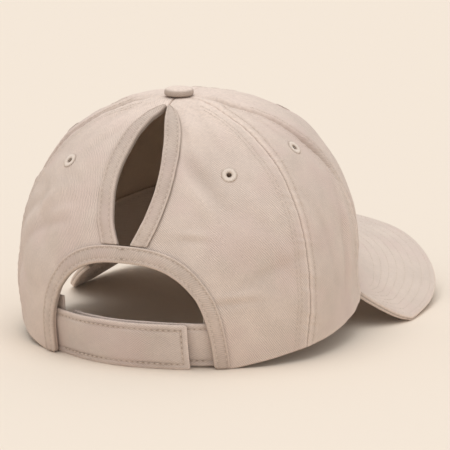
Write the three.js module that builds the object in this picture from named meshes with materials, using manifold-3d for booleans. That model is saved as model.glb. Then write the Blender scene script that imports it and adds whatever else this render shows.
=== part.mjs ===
// A six-panel ponytail baseball cap in washed cotton: crown, button, visor, sweatband,
// a bound arch and a bound teardrop opening at the back, and a closing strap in two halves.
// Lengths are millimetres. The cap stands on z = 0 and looks along -Y; its left side is +X.

import * as THREE from 'three';
import { mergeVertices } from 'three/addons/utils/BufferGeometryUtils.js';
import Module from 'manifold-3d';

const wasm = await Module();
wasm.setup();

// Driving dimensions: cloth and gaps
const pieceGap = 0.3;
const layerGap = 0.5;
const clothThickness = 1.4;
const tapeThickness = 0.7;
const tapeWidth = 8;
const archTapeNarrowing = 0.82;

// Driving dimensions: crown
const crownHeight = 126.3;
const crownHalfWidth = 86.2;
const crownFrontLength = 108.8;
const crownBackLength = 77.9;
const topSetback = 5.2;
const bulgeHeight = 37;
const bulgeShare = 0.22;
const roundness = { front: 2.44, side: 2.24, back: 1.77 };
const backSeamTurn = 70.3;
const frontSeamTurn = 112;
const frontSeamDrift = 17;
const seamDip = 0.7;
const seamDipWidth = 5;
const foldDepth = 2;
const rimTuck = 6.5;

// Driving dimensions: button and eyelets
const buttonRadius = 7.6;
const buttonHeight = 4.2;
const buttonStemRadius = 2;
const buttonPlateRadius = 4.5;
const buttonPlateThickness = 1;
const buttonPlateDrop = 0.8;
const eyeletRadius = 4.4;
const eyeletHoleRadius = 1.5;
const eyeletBarrelThickness = 0.7;
const eyeletFlangeThickness = 0.6;

// Driving dimensions: visor
const visorThickness = 3.3;
const visorHalfWidth = 98;
const visorReach = 181.8;
const visorWidestReach = 74;
const visorCrestHeight = 40;
const visorDroop = 9.8;
const visorTurn = 64;
const visorArchPower = 2.6;
const visorOutlinePower = 2.5;
const visorCornerPower = 1.5;
const visorTipStretch = 0.8;

// Driving dimensions: back openings
const archHalfWidth = 43.9;
const archHeight = 53.6;
const archPower = 2.56;
const teardropHalfWidth = 11.1;
const teardropLength = 84.3;

// Driving dimensions: sweatband, straps and fastener
const sweatbandWidth = 30;
const sweatbandThickness = 1.2;
const sweatbandGap = 0.5;
const sweatbandOverhang = 3.5;
const sweatbandLift = 1;
const strapWidth = 24;
const innerStrapLift = 1;
const strapThickness = 2;
const strapRootDepth = 5;
const outerStrapEnd = 33;
const innerStrapEnd = 37;
const patchThickness = 1.6;
const patchMargin = 3;

// Tables. Angles are degrees round the crown from the middle of the back.
// Rim: how far it draws in below the bulge, as a share of rimTuck; below zero it flares out.
const rimDraw = [
  { turn: 0, tuck: 1 },
  { turn: 38, tuck: 0.85 },
  { turn: 50, tuck: 0.7 },
  { turn: 70, tuck: 0.55 },
  { turn: 90, tuck: 0.25 },
  { turn: 105, tuck: -0.5 },
  { turn: 116, tuck: -0.9 },
  { turn: 150, tuck: -0.5 },
  { turn: 180, tuck: -0.3 },
];

// Rim lift from the back to the visor's corner, as a share of the corner's height.
const rimRise = [
  { toCorner: 0, lift: 0 },
  { toCorner: 0.33, lift: 0 },
  { toCorner: 0.43, lift: 0.12 },
  { toCorner: 0.6, lift: 0.32 },
  { toCorner: 0.78, lift: 0.5 },
  { toCorner: 0.9, lift: 0.72 },
  { toCorner: 1, lift: 1 },
];

// Seams: the dip beside a seam fades out towards the rim and under the button.
const seamFade = { none: 0.11, full: 0.44, easing: 0.8, gone: 0.95 };

// Teardrop opening: along from its bottom to its point, the open half width as a share of
// teardropHalfWidth, and the tape beside it as a share of tapeWidth.
const teardropShape = [
  { along: 0, open: 0.27, tape: 1.12 },
  { along: 0.13, open: 0.68, tape: 1.06 },
  { along: 0.28, open: 0.94, tape: 1 },
  { along: 0.39, open: 1, tape: 0.97 },
  { along: 0.49, open: 0.95, tape: 0.97 },
  { along: 0.58, open: 0.82, tape: 1.02 },
  { along: 0.69, open: 0.63, tape: 1.03 },
  { along: 0.78, open: 0.43, tape: 0.98 },
  { along: 0.87, open: 0.23, tape: 0.82 },
  { along: 0.95, open: 0.08, tape: 0.5 },
  { along: 1, open: 0.01, tape: 0.12 },
];

// Soft folds: place (turn, share of the panel's length), half sizes, slant, and depth as a
// share of foldDepth; below zero the cloth stands out.
const folds = [
  { turn: -56, along: 0.26, wide: 15, long: 0.065, slant: 0, depth: 0.6 },
  { turn: -54, along: 0.37, wide: 15, long: 0.06, slant: 0.001, depth: -0.4 },
  { turn: -30, along: 0.6, wide: 8, long: 0.13, slant: -0.008, depth: 0.4 },
  { turn: -50, along: 0.47, wide: 10, long: 0.16, slant: -0.006, depth: -0.35 },
  { turn: 48, along: 0.42, wide: 14, long: 0.045, slant: 0.006, depth: 0.7 },
  { turn: 40, along: 0.51, wide: 14, long: 0.06, slant: 0.004, depth: -0.4 },
  { turn: 60, along: 0.25, wide: 12, long: 0.04, slant: 0.004, depth: 0.5 },
  { turn: -92, along: 0.35, wide: 10, long: 0.12, slant: 0.004, depth: 0.6 },
  { turn: 92, along: 0.38, wide: 10, long: 0.11, slant: -0.004, depth: 0.5 },
  { turn: -150, along: 0.42, wide: 16, long: 0.07, slant: 0.002, depth: 0.5 },
  { turn: 150, along: 0.45, wide: 15, long: 0.07, slant: -0.002, depth: 0.5 },
];

// Eyelets: along is a share of the panel's length from rim to top.
const eyeletPlaces = [
  { panel: 'back', turn: 43.9, along: 0.583 },
  { panel: 'side', turn: 91, along: 0.595 },
  { panel: 'front', turn: 146, along: 0.6 },
];

// Sweatband: the turns between which it goes from behind the strap to the wall, and how many
// degrees it takes past the visor's corner to come down behind the visor.
const sweatbandEasing = { strap: 45, wall: 75, corner: 8 };

// Straps: how far the outer face lies outside the crown's wall, against the distance from
// the middle of the back towards the strap's own root, as a share of archHalfWidth.
const outerStrapRoute = [
  { across: -1, out: 0.4 },
  { across: -0.4, out: 0.6 },
  { across: 0.2, out: 0.2 },
  { across: 0.6, out: -1.2 },
  { across: 0.88, out: -3 },
  { across: 1.2, out: -3 },
];

// Where the inner strap comes out from under the outer one towards its root, same shares.
const innerStrapEasing = { under: 0.6, root: 0.9 };

// Eyelet flange: across is a share of the way from the hole to the edge, rise of the thickness.
const flangeShape = [
  { across: 0, rise: 0.5 },
  { across: 0.3, rise: 1 },
  { across: 0.75, rise: 1 },
  { across: 1, rise: 0 },
];

// Button's domed outside: shares of its radius and height, from its foot to its middle.
const buttonShape = [
  { radius: 0.96, height: 0 },
  { radius: 1, height: 0.3 },
  { radius: 0.98, height: 0.6 },
  { radius: 0.85, height: 0.85 },
  { radius: 0.5, height: 0.97 },
  { radius: 0, height: 1 },
];

// Counts that set how fine the faceted cloth is
const panelRows = 18;
const archRows = 12;
const backColumns = 7;
const sideColumns = 5;
const frontColumns = 9;
const archStations = 36;
const teardropStations = 20;
const visorColumns = 28;
const visorRows = 9;
const sweatbandColumns = 52;
const strapColumns = 16;
const sweatbandRows = 3;
const strapRows = 2;
const eyeletSides = 12;
const buttonSides = 20;
const solveSteps = 4;
const smallStep = 0.002;

const cottonColor = '#cdb9a9';
const tapeColor = '#c9b4a3';
const strapColor = '#c2ad9f';
const visorColor = '#dcc9bc';
const threadColor = '#dfd0c1';
const bandColor = '#b9a593';
const clothRoughness = 0.95;

const { degToRad, radToDeg, clamp, lerp, smoothstep } = THREE.MathUtils;
const quarterTurn = Math.PI / 2;

// Looks up a table by its first column and blends smoothly between its rows.
function fromTable(table, key, value, column) {
  const last = table.length - 1;
  const at = clamp(value, table[0][key], table[last][key]);
  const i = clamp(table.findIndex((row) => row[key] > at) - 1, 0, last - 1);
  const k = at >= table[last][key] ? last - 1 : i;
  const slope = (n) => {
    const a = table[Math.max(n - 1, 0)];
    const b = table[Math.min(n + 1, last)];
    return (b[column] - a[column]) / (b[key] - a[key]);
  };
  const span = table[k + 1][key] - table[k][key];
  const s = (at - table[k][key]) / span;
  const rise = s * s * (3 - 2 * s);
  const bend = span * (s * (1 - s) ** 2 * slope(k) - s * s * (1 - s) * slope(k + 1));
  return lerp(table[k][column], table[k + 1][column], rise) + bend;
}

// Crown surface. turn is in radians from the middle of the back, towards +X; share runs from
// 0 at floor level through bulgeShare at the widest level to 1 at the top.
function frontness(turn) {
  return ((1 - Math.cos(turn)) / 2) ** 2;
}

function bendPower(turn) {
  const front = frontness(turn);
  const back = frontness(Math.PI - turn);
  const side = 1 - front - back;
  return 2 / (roundness.front * front + roundness.side * side + roundness.back * back);
}

function fromBack(turn) {
  return Math.abs(radToDeg(Math.atan2(Math.sin(turn), Math.cos(turn))));
}

function spreadAt(turn, share) {
  if (share >= bulgeShare) {
    const angle = ((share - bulgeShare) / (1 - bulgeShare)) * quarterTurn;
    return Math.max(Math.cos(angle), 0) ** bendPower(turn);
  }
  const below = 1 - share / bulgeShare;
  const tuck = rimTuck * fromTable(rimDraw, 'turn', fromBack(turn), 'tuck');
  return 1 - (tuck / crownHalfWidth) * below ** 2;
}

function heightAt(turn, share) {
  if (share < bulgeShare) return (bulgeHeight * share) / bulgeShare;
  const angle = ((share - bulgeShare) / (1 - bulgeShare)) * quarterTurn;
  return bulgeHeight + (crownHeight - bulgeHeight) * Math.sin(angle) ** bendPower(turn);
}

function shareAtHeight(turn, height) {
  if (height < bulgeHeight) return (bulgeShare * height) / bulgeHeight;
  const rise = ((height - bulgeHeight) / (crownHeight - bulgeHeight)) ** (1 / bendPower(turn));
  return bulgeShare + ((1 - bulgeShare) * Math.asin(Math.min(rise, 1))) / quarterTurn;
}

// The share reached by going this far up the cloth from another share.
function shareAbove(turn, from, distance) {
  let share = from;
  let left = distance;
  while (left > 0 && share < 1 - smallStep) {
    left -= plainPoint(turn, share).distanceTo(plainPoint(turn, share + smallStep));
    share += smallStep;
  }
  return share;
}

function crownLength(turn) {
  return Math.cos(turn) > 0 ? crownBackLength : crownFrontLength;
}

function plainPoint(turn, share) {
  const spread = spreadAt(turn, share);
  return new THREE.Vector3(
    crownHalfWidth * Math.sin(turn) * spread,
    topSetback + (crownLength(turn) * Math.cos(turn) - topSetback) * spread,
    heightAt(turn, share),
  );
}

// The outward direction; below the bulge it is level, so that rims end flat.
function outwardAt(turn, share) {
  const low = Math.max(share - smallStep, 0);
  const along = plainPoint(turn, share + smallStep).sub(plainPoint(turn, low));
  const round = plainPoint(turn + smallStep, share).sub(plainPoint(turn - smallStep, share));
  const outward = along.cross(round);
  if (share < bulgeShare) outward.z = 0;
  return outward.normalize();
}

function seamTurn(seam, share) {
  if (seam === 'back') return 0;
  if (seam === 'backSide') return degToRad(backSeamTurn);
  if (seam === 'sideFront') {
    return degToRad(frontSeamTurn - frontSeamDrift * smoothstep(share, bulgeShare, 1));
  }
  return Math.PI;
}

// How far the cloth lies below the plain surface: a small dip along the seams and the folds.
function dipAt(turn, share) {
  const folded = Math.atan2(Math.sin(turn), Math.cos(turn));
  const { none, full, easing, gone } = seamFade;
  const fade = smoothstep(share, none, full) * (1 - smoothstep(share, easing, gone));
  let dip = 0;
  for (const seam of ['backSide', 'sideFront', 'front']) {
    const away = (Math.abs(folded) - seamTurn(seam, share)) * crownHalfWidth * spreadAt(turn, share);
    dip += seamDip * fade * Math.exp(-((away / seamDipWidth) ** 2));
  }
  for (const fold of folds) {
    const across = radToDeg(folded) - fold.turn;
    const along = share - fold.along - fold.slant * across;
    dip += foldDepth * fold.depth * Math.exp(-((across / fold.wide) ** 2) - (along / fold.long) ** 2);
  }
  return dip;
}

function crownPoint(turn, share, out = 0) {
  const outward = outwardAt(turn, share);
  return plainPoint(turn, share).addScaledVector(outward, out - dipAt(turn, share));
}

// The turn at which the back of the crown, at this share, lies x from the middle plane.
function turnAtX(x, share) {
  let turn = 0;
  for (let i = 0; i < solveSteps; i += 1) {
    turn = Math.asin(clamp(x / (crownHalfWidth * spreadAt(turn, share)), -1, 1));
  }
  return turn;
}

// Visor: height of its upper face over the plan, and its outline from tip to root corner.
function visorHeight(x, y) {
  const slope = (visorCrestHeight * visorArchPower) / visorHalfWidth;
  const edge = visorThickness / Math.hypot(1, slope);
  const forward = (-y - visorWidestReach) / (visorReach - visorWidestReach);
  const crest = visorCrestHeight - edge - visorDroop * forward;
  return edge + crest * (1 - Math.min(Math.abs(x) / visorHalfWidth, 1) ** visorArchPower);
}

function visorUp(x, y) {
  const step = pieceGap;
  const dx = (visorHeight(x + step, y) - visorHeight(x - step, y)) / (2 * step);
  const dy = (visorHeight(x, y + step) - visorHeight(x, y - step)) / (2 * step);
  return new THREE.Vector3(-dx, -dy, 1).normalize();
}

// The upper root line lies under the wall's inner face.
function visorRoot(turn) {
  let point = crownPoint(turn, bulgeShare, -clothThickness);
  for (let i = 0; i < solveSteps; i += 1) {
    const share = shareAtHeight(turn, visorHeight(point.x, point.y) + pieceGap);
    point = crownPoint(turn, share, -clothThickness);
  }
  return point.setZ(visorHeight(point.x, point.y));
}

const visorCorner = visorRoot(Math.PI - degToRad(visorTurn));

// A quarter of a superellipse, stepped evenly: from (0, 1) at s = 0 to (1, 0) at s = 1.
function quarterCurve(s, power) {
  const rise = s ** (power / 2);
  const angle = (quarterTurn * rise) / (rise + (1 - s) ** (power / 2));
  return [Math.sin(angle) ** (2 / power), Math.max(Math.cos(angle), 0) ** (2 / power)];
}

function visorOutline(side) {
  const s = Math.abs(side);
  const outline = new THREE.Vector3(0, -visorWidestReach, 0);
  if (s < visorTipStretch) {
    const [across, ahead] = quarterCurve(s / visorTipStretch, visorOutlinePower);
    outline.x = visorHalfWidth * across;
    outline.y -= (visorReach - visorWidestReach) * ahead;
  } else {
    const [back, across] = quarterCurve((s - visorTipStretch) / (1 - visorTipStretch), visorCornerPower);
    outline.x = lerp(visorCorner.x, visorHalfWidth, across);
    outline.y += (visorCorner.y + visorWidestReach) * back;
  }
  outline.x *= Math.sign(side);
  return outline;
}

// Rim: it stands on the floor at the back, lifts along the sides and sits on the visor.
function rimHeight(turn) {
  const cornerTurn = 180 - visorTurn;
  if (fromBack(turn) >= cornerTurn) return visorRoot(turn).z + pieceGap;
  const lift = fromTable(rimRise, 'toCorner', fromBack(turn) / cornerTurn, 'lift');
  return lift * (visorCorner.z + pieceGap);
}

function rimShare(turn) {
  return shareAtHeight(turn, rimHeight(turn));
}

// The panels end at a round hole for the button's stem.
function topShare(turn) {
  const across = crownHalfWidth * Math.sin(turn);
  const ahead = crownLength(turn) * Math.cos(turn) - topSetback;
  const spread = (buttonStemRadius + pieceGap) / Math.hypot(across, ahead);
  const angle = Math.acos(spread ** (1 / bendPower(turn)));
  return bulgeShare + ((1 - bulgeShare) * angle) / quarterTurn;
}

// Solids from points and triangles
function geometryOf(points, triangles) {
  const volume = triangles.reduce((sum, [a, b, c]) => {
    return sum + points[a].dot(points[b].clone().cross(points[c]));
  }, 0);
  const facing = volume < 0 ? triangles.map(([a, b, c]) => [a, c, b]) : triangles;
  const geometry = new THREE.BufferGeometry().setFromPoints(points);
  geometry.setIndex(facing.flat());
  return geometry;
}

// A sheet with thickness: two faces over the same grid, closed round its four edges.
function sheetSolid(rows, columns, facePoint) {
  const width = columns + 1;
  const faceSize = (rows + 1) * width;
  const points = [];
  for (const face of [0, 1]) {
    for (let r = 0; r <= rows; r += 1) {
      for (let c = 0; c <= columns; c += 1) points.push(facePoint(r, c, face));
    }
  }
  const quads = [];
  for (let r = 0; r < rows; r += 1) {
    for (let c = 0; c < columns; c += 1) {
      const a = r * width + c;
      quads.push([a, a + 1, a + width + 1, a + width]);
      quads.push([a + faceSize, a + faceSize + width, a + faceSize + width + 1, a + faceSize + 1]);
    }
  }
  const edge = [];
  for (let c = 0; c < columns; c += 1) edge.push(c);
  for (let r = 0; r < rows; r += 1) edge.push(r * width + columns);
  for (let c = columns; c > 0; c -= 1) edge.push(rows * width + c);
  for (let r = rows; r > 0; r -= 1) edge.push(r * width);
  edge.forEach((a, i) => {
    const b = edge[(i + 1) % edge.length];
    quads.push([a, a + faceSize, b + faceSize, b]);
  });
  return geometryOf(points, quads.flatMap(([a, b, c, d]) => [[a, b, c], [a, c, d]]));
}

// A closed section carried through stations, with both ends closed.
function sweptSolid(sections, flatSection) {
  const size = flatSection.length;
  const points = sections.flat();
  const triangles = [];
  for (let s = 0; s < sections.length - 1; s += 1) {
    for (let i = 0; i < size; i += 1) {
      const a = s * size + i;
      const b = s * size + ((i + 1) % size);
      triangles.push([a, b, b + size], [a, b + size, a + size]);
    }
  }
  const last = (sections.length - 1) * size;
  const clockwise = THREE.ShapeUtils.isClockWise(flatSection);
  for (const triangle of THREE.ShapeUtils.triangulateShape(flatSection, [])) {
    const [a, b, c] = clockwise ? triangle : triangle.toReversed();
    triangles.push([a, b, c], [last + c, last + b, last + a]);
  }
  return geometryOf(points, triangles);
}

function toManifold(geometry) {
  const bare = geometry.clone();
  bare.deleteAttribute('normal');
  bare.deleteAttribute('uv');
  const merged = mergeVertices(bare);
  return new wasm.Manifold(new wasm.Mesh({
    numProp: 3,
    vertProperties: new Float32Array(merged.attributes.position.array),
    triVerts: new Uint32Array(merged.index.array),
  }));
}

function fromManifold(solid) {
  const mesh = solid.getMesh();
  const geometry = new THREE.BufferGeometry();
  geometry.setAttribute('position', new THREE.BufferAttribute(mesh.vertProperties, mesh.numProp));
  geometry.setIndex(new THREE.BufferAttribute(mesh.triVerts, 1));
  return geometry;
}

function piece(name, geometry, color) {
  geometry.deleteAttribute('normal');
  geometry.computeVertexNormals();
  const look = new THREE.MeshStandardMaterial({ color, roughness: clothRoughness, metalness: 0 });
  const mesh = new THREE.Mesh(geometry, look);
  mesh.name = name;
  return mesh;
}

// Edge of the back openings. The opening's edge is q = 0 and the tape's outer edge q = 1.
const archTopShare = shareAtHeight(0, archHeight);
const tapeTopShare = shareAtHeight(0, archHeight + tapeWidth);
const teardropBottomShare = shareAtHeight(0, archHeight + tapeWidth + pieceGap);
const teardropTopShare = shareAbove(0, teardropBottomShare, teardropLength);

function archEdge(angle, q) {
  const power = 2 / archPower;
  const halfWidth = archHalfWidth + tapeWidth * archTapeNarrowing * q;
  const x = halfWidth * Math.sign(Math.cos(angle)) * Math.abs(Math.cos(angle)) ** power;
  return { x, share: lerp(archTopShare, tapeTopShare, q) * Math.sin(angle) ** power };
}

function teardropEdge(along, q) {
  const open = teardropHalfWidth * fromTable(teardropShape, 'along', along, 'open') + pieceGap / 2;
  const tape = tapeWidth * fromTable(teardropShape, 'along', along, 'tape');
  return { x: open + tape * q, share: lerp(teardropBottomShare, teardropTopShare, along) };
}

function edgePoint({ x, share }, out) {
  return crownPoint(turnAtX(x, share), share, out);
}

// Tape folded round a cloth edge: an outer leg, a bend round the edge and an inner leg.
const tapeOut = layerGap + tapeThickness;
const tapeIn = -clothThickness - layerGap - tapeThickness;
const clothEdge = 0.22;
const tapeBend = 0.05;
const tapeMiddle = 0.55;
const tapeSection = [
  { q: 1, out: tapeOut },
  { q: tapeMiddle, out: tapeOut },
  { q: tapeBend, out: tapeOut },
  { q: 0, out: tapeOut - tapeThickness / 2 },
  { q: 0, out: tapeIn + tapeThickness / 2 },
  { q: tapeBend, out: tapeIn },
  { q: tapeMiddle, out: tapeIn },
  { q: 1, out: tapeIn },
  { q: 1, out: tapeIn + tapeThickness },
  { q: tapeMiddle, out: tapeIn + tapeThickness },
  { q: clothEdge / 2, out: tapeIn + tapeThickness },
  { q: clothEdge / 2, out: layerGap },
  { q: tapeMiddle, out: layerGap },
  { q: 1, out: layerGap },
];
const flatTapeSection = tapeSection.map(({ q, out }) => new THREE.Vector2(q * tapeWidth, out));

function archBinding() {
  const sections = [];
  for (let i = 0; i <= archStations; i += 1) {
    const angle = Math.PI * (i / archStations);
    sections.push(tapeSection.map(({ q, out }) => edgePoint(archEdge(angle, q), out)));
  }
  return piece('arch_binding', sweptSolid(sections, flatTapeSection), tapeColor);
}

function teardropBinding(name, side) {
  const sections = [];
  for (let i = 0; i <= teardropStations; i += 1) {
    const along = i / teardropStations;
    sections.push(tapeSection.map(({ q, out }) => {
      const { x, share } = teardropEdge(along, q);
      return edgePoint({ x: x * side, share }, out);
    }));
  }
  return piece(name, sweptSolid(sections, flatTapeSection), tapeColor);
}

// Panels. A row of a panel lies at v, from 0 at the rim to 1 at the top, between two turns.
function shareInPanel(turn, v) {
  return lerp(rimShare(turn), topShare(turn), v);
}

function halfGapTurn(turn, share) {
  const arc = plainPoint(turn + smallStep, share).distanceTo(plainPoint(turn - smallStep, share));
  return (pieceGap * smallStep) / arc;
}

function seamSide(seam, v, towards) {
  let turn = seamTurn(seam, bulgeShare);
  for (let i = 0; i < solveSteps; i += 1) turn = seamTurn(seam, shareInPanel(turn, v));
  return turn + towards * halfGapTurn(turn, shareInPanel(turn, v));
}

function panelSolid(rows, columns, side) {
  return sheetSolid(rows.length - 1, columns, (r, c, face) => {
    const { v, from, to } = rows[r];
    const turn = lerp(from, to, c / columns);
    return crownPoint(turn * side, shareInPanel(turn, v), -face * clothThickness);
  });
}

function evenRows(from, to) {
  return Array.from({ length: panelRows + 1 }, (_, i) => {
    const v = i / panelRows;
    return { v, from: seamSide(from, v, 1), to: seamSide(to, v, -1) };
  });
}

// The back panel's inner edge follows the arch, then the teardrop, then the middle seam.
function backRows() {
  const edge = [];
  for (let i = 0; i < archRows; i += 1) edge.push(archEdge((quarterTurn * i) / archRows, clothEdge));
  for (let i = 0; i <= teardropStations; i += 2) edge.push(teardropEdge(i / teardropStations, clothEdge));
  const rows = edge.map(({ x, share }) => {
    const turn = turnAtX(x, share);
    return { v: (share - rimShare(turn)) / (topShare(turn) - rimShare(turn)), from: turn };
  });
  for (const v of [(rows.at(-1).v + 1) / 2, 1]) rows.push({ v, from: seamSide('back', v, 1) });
  return rows.map(({ v, from }) => ({ v, from, to: seamSide('backSide', v, -1) }));
}

function eyeletPlace({ turn, along }, side) {
  const angle = degToRad(turn) * side;
  const share = lerp(rimShare(angle), 1, along);
  const step = eyeletRadius / crownHeight;
  const up = crownPoint(angle, share + step).sub(crownPoint(angle, share - step));
  const round = crownPoint(angle + step, share).sub(crownPoint(angle - step, share));
  return { centre: crownPoint(angle, share), outward: up.cross(round).normalize() };
}

function eyeletHole(place) {
  const hole = eyeletHoleRadius + eyeletBarrelThickness + pieceGap;
  const cutter = new THREE.CylinderGeometry(hole, hole, clothThickness * 6, eyeletSides);
  const upright = new THREE.Vector3(0, 1, 0);
  cutter.applyQuaternion(new THREE.Quaternion().setFromUnitVectors(upright, place.outward));
  cutter.translate(...place.centre.toArray());
  return toManifold(cutter);
}

function eyelet(name, place) {
  const barrel = eyeletHoleRadius + eyeletBarrelThickness;
  const inside = -clothThickness - layerGap;
  const flange = (from, side) => flangeShape.map(({ across, rise }) => new THREE.Vector2(
    lerp(eyeletHoleRadius, eyeletRadius, across),
    from + side * eyeletFlangeThickness * rise,
  ));
  const profile = [
    ...flange(inside, -1),
    new THREE.Vector2(barrel, inside),
    new THREE.Vector2(barrel, layerGap),
    ...flange(layerGap, 1).reverse(),
  ];
  profile.push(profile[0].clone());
  const mesh = piece(name, new THREE.LatheGeometry(profile, eyeletSides), threadColor);
  mesh.quaternion.setFromUnitVectors(new THREE.Vector3(0, 1, 0), place.outward);
  mesh.position.copy(place.centre);
  return mesh;
}

function crown() {
  const group = new THREE.Group();
  const panels = {
    back: { rows: backRows(), columns: backColumns },
    side: { rows: evenRows('backSide', 'sideFront'), columns: sideColumns },
    front: { rows: evenRows('sideFront', 'front'), columns: frontColumns },
  };
  for (const spec of eyeletPlaces) {
    for (const [word, side] of [['left', 1], ['right', -1]]) {
      const { rows, columns } = panels[spec.panel];
      const place = eyeletPlace(spec, side);
      const cloth = toManifold(panelSolid(rows, columns, side)).subtract(eyeletHole(place));
      group.add(piece(`panel_${spec.panel}_${word}`, fromManifold(cloth), cottonColor));
      group.add(eyelet(`eyelet_${spec.panel}_${word}`, place));
    }
  }
  return group;
}

// Covered button: a domed cap outside, a stem through the hole and a plate inside.
function topButton() {
  const plateTop = -clothThickness - buttonPlateDrop - pieceGap;
  const profile = [
    new THREE.Vector2(0, plateTop - buttonPlateThickness),
    new THREE.Vector2(buttonPlateRadius, plateTop - buttonPlateThickness),
    new THREE.Vector2(buttonPlateRadius, plateTop),
    new THREE.Vector2(buttonStemRadius, plateTop),
    new THREE.Vector2(buttonStemRadius, pieceGap),
    ...buttonShape.map(({ radius, height }) => (
      new THREE.Vector2(radius * buttonRadius, pieceGap + height * buttonHeight))),
  ];
  const mesh = piece('top_button', new THREE.LatheGeometry(profile, buttonSides), cottonColor);
  mesh.rotation.x = quarterTurn;
  mesh.position.set(0, topSetback, crownHeight);
  return mesh;
}

function visor() {
  const corner = degToRad(visorTurn);
  const geometry = sheetSolid(visorRows, visorColumns, (r, c, face) => {
    const side = (2 * c) / visorColumns - 1;
    const out = r / visorRows;
    const plan = visorRoot(Math.PI - corner * side).lerp(visorOutline(side), out);
    const top = plan.setZ(visorHeight(plan.x, plan.y));
    const up = new THREE.Vector3(0, 0, 1).lerp(visorUp(plan.x, plan.y), out).normalize();
    const point = top.clone().addScaledVector(up, -face * visorThickness);
    return point.setZ(Math.max(point.z, 0));
  });
  return piece('visor', geometry, visorColor);
}

// A point beside the upright wall near the rim, moved level outwards.
function wallPoint(turn, height, out) {
  const share = shareAtHeight(turn, height);
  const outward = outwardAt(turn, share).setZ(0).normalize();
  return plainPoint(turn, share).addScaledVector(outward, out - Math.max(dipAt(turn, share), 0));
}

// Sweatband: its lower edge hangs behind the visor's root and stays above the rim elsewhere.
function sweatband() {
  const start = turnAtX(archHalfWidth - sweatbandOverhang, bulgeShare / 2);
  const behindStrap = tapeIn - strapThickness - 2 * layerGap;
  const geometry = sheetSolid(sweatbandRows, sweatbandColumns, (r, c, face) => {
    const turn = lerp(start, 2 * Math.PI - start, c / sweatbandColumns);
    const away = fromBack(turn);
    const overVisor = smoothstep(away, 180 - visorTurn, 180 - visorTurn + sweatbandEasing.corner);
    const low = rimHeight(turn) + lerp(sweatbandLift, -visorThickness, overVisor);
    const onWall = smoothstep(away, sweatbandEasing.strap, sweatbandEasing.wall);
    const out = lerp(behindStrap, -clothThickness - sweatbandGap, onWall);
    const height = low + (sweatbandWidth * r) / sweatbandRows;
    return wallPoint(turn, height, out - face * sweatbandThickness);
  });
  return piece('sweatband', geometry, bandColor);
}

// Straps: flat bands upright along the rim, each rooted behind the arch's tape.
function strap(name, side, endX, outAt, lift) {
  const rootX = archHalfWidth + strapRootDepth;
  const geometry = sheetSolid(strapRows, strapColumns, (r, c, face) => {
    const x = lerp(rootX, -endX, c / strapColumns);
    const height = lift + ((strapWidth - lift) * r) / strapRows;
    const turn = turnAtX(x, shareAtHeight(0, height));
    return wallPoint(turn * side, height, outAt(x) - face * strapThickness);
  });
  return piece(name, geometry, strapColor);
}

function outerStrapOut(x) {
  return fromTable(outerStrapRoute, 'across', x / archHalfWidth, 'out');
}

// Seen from its own root, the inner strap runs behind the tape, then under the outer strap.
function innerStrapOut(x) {
  const under = outerStrapOut(-x) - strapThickness - patchThickness - 2 * layerGap;
  const root = tapeIn - layerGap;
  const { under: from, root: to } = innerStrapEasing;
  return Math.min(lerp(under, root, smoothstep(x / archHalfWidth, from, to)), root);
}

function fastener() {
  const from = -outerStrapEnd + patchMargin;
  const to = innerStrapEnd - patchMargin;
  const geometry = sheetSolid(1, strapColumns, (r, c, face) => {
    const x = lerp(from, to, c / strapColumns);
    const height = lerp(patchMargin, strapWidth - patchMargin, r);
    const turn = turnAtX(x, shareAtHeight(0, height));
    const out = outerStrapOut(x) - strapThickness - layerGap;
    return wallPoint(turn, height, out - face * patchThickness);
  });
  return piece('hook_and_loop_patch', geometry, bandColor);
}

const cap = new THREE.Group();
cap.add(
  crown(),
  topButton(),
  visor(),
  sweatband(),
  archBinding(),
  teardropBinding('teardrop_binding_left', 1),
  teardropBinding('teardrop_binding_right', -1),
  strap('strap_outer', 1, outerStrapEnd, outerStrapOut, 0),
  strap('strap_inner', -1, innerStrapEnd, innerStrapOut, innerStrapLift),
  fastener(),
);

// The origin is the middle of the cap's box, at floor level.
const middle = new THREE.Box3().setFromObject(cap, true).getCenter(new THREE.Vector3());
cap.position.set(-middle.x, -middle.y, 0);

export default cap;
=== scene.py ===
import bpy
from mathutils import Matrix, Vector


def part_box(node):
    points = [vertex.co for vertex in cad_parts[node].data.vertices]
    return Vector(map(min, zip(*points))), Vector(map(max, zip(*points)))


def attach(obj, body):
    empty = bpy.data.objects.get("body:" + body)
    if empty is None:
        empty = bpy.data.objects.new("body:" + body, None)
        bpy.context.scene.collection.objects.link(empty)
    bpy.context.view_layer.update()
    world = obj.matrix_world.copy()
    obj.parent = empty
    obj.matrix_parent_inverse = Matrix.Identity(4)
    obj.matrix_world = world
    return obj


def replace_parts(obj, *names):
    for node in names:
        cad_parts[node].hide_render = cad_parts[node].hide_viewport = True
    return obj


bl_info = {
    "name": "Washed Cotton Ponytail Cap",
    "version": (1, 0, 0),
    "blender": (4, 5, 0),
    "location": "View3D > Sidebar > Cap",
    "description": "Sews the cloth, tapes, threads and straps of a ponytail cap and sets up its stage",
    "category": "Object",
}

import math
import random

import bmesh
import bpy
import numpy as np
from bpy.props import FloatProperty, FloatVectorProperty, IntProperty, PointerProperty
from mathutils import Matrix, Vector

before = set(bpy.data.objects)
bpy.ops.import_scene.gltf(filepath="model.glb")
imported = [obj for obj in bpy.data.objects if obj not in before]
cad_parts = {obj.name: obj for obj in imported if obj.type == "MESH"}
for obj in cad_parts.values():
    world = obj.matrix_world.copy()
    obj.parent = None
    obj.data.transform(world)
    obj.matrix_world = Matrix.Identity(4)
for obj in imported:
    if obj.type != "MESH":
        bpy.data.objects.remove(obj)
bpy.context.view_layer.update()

MM = 0.001
BODY = "root"
SIDES = (("left", 1), ("right", -1))
QUARTER = math.pi / 2
FULL_TURN = 2 * math.pi
STEP = 0.002
SOLVE_STEPS = 4
WELD = 0.02 * MM


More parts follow.
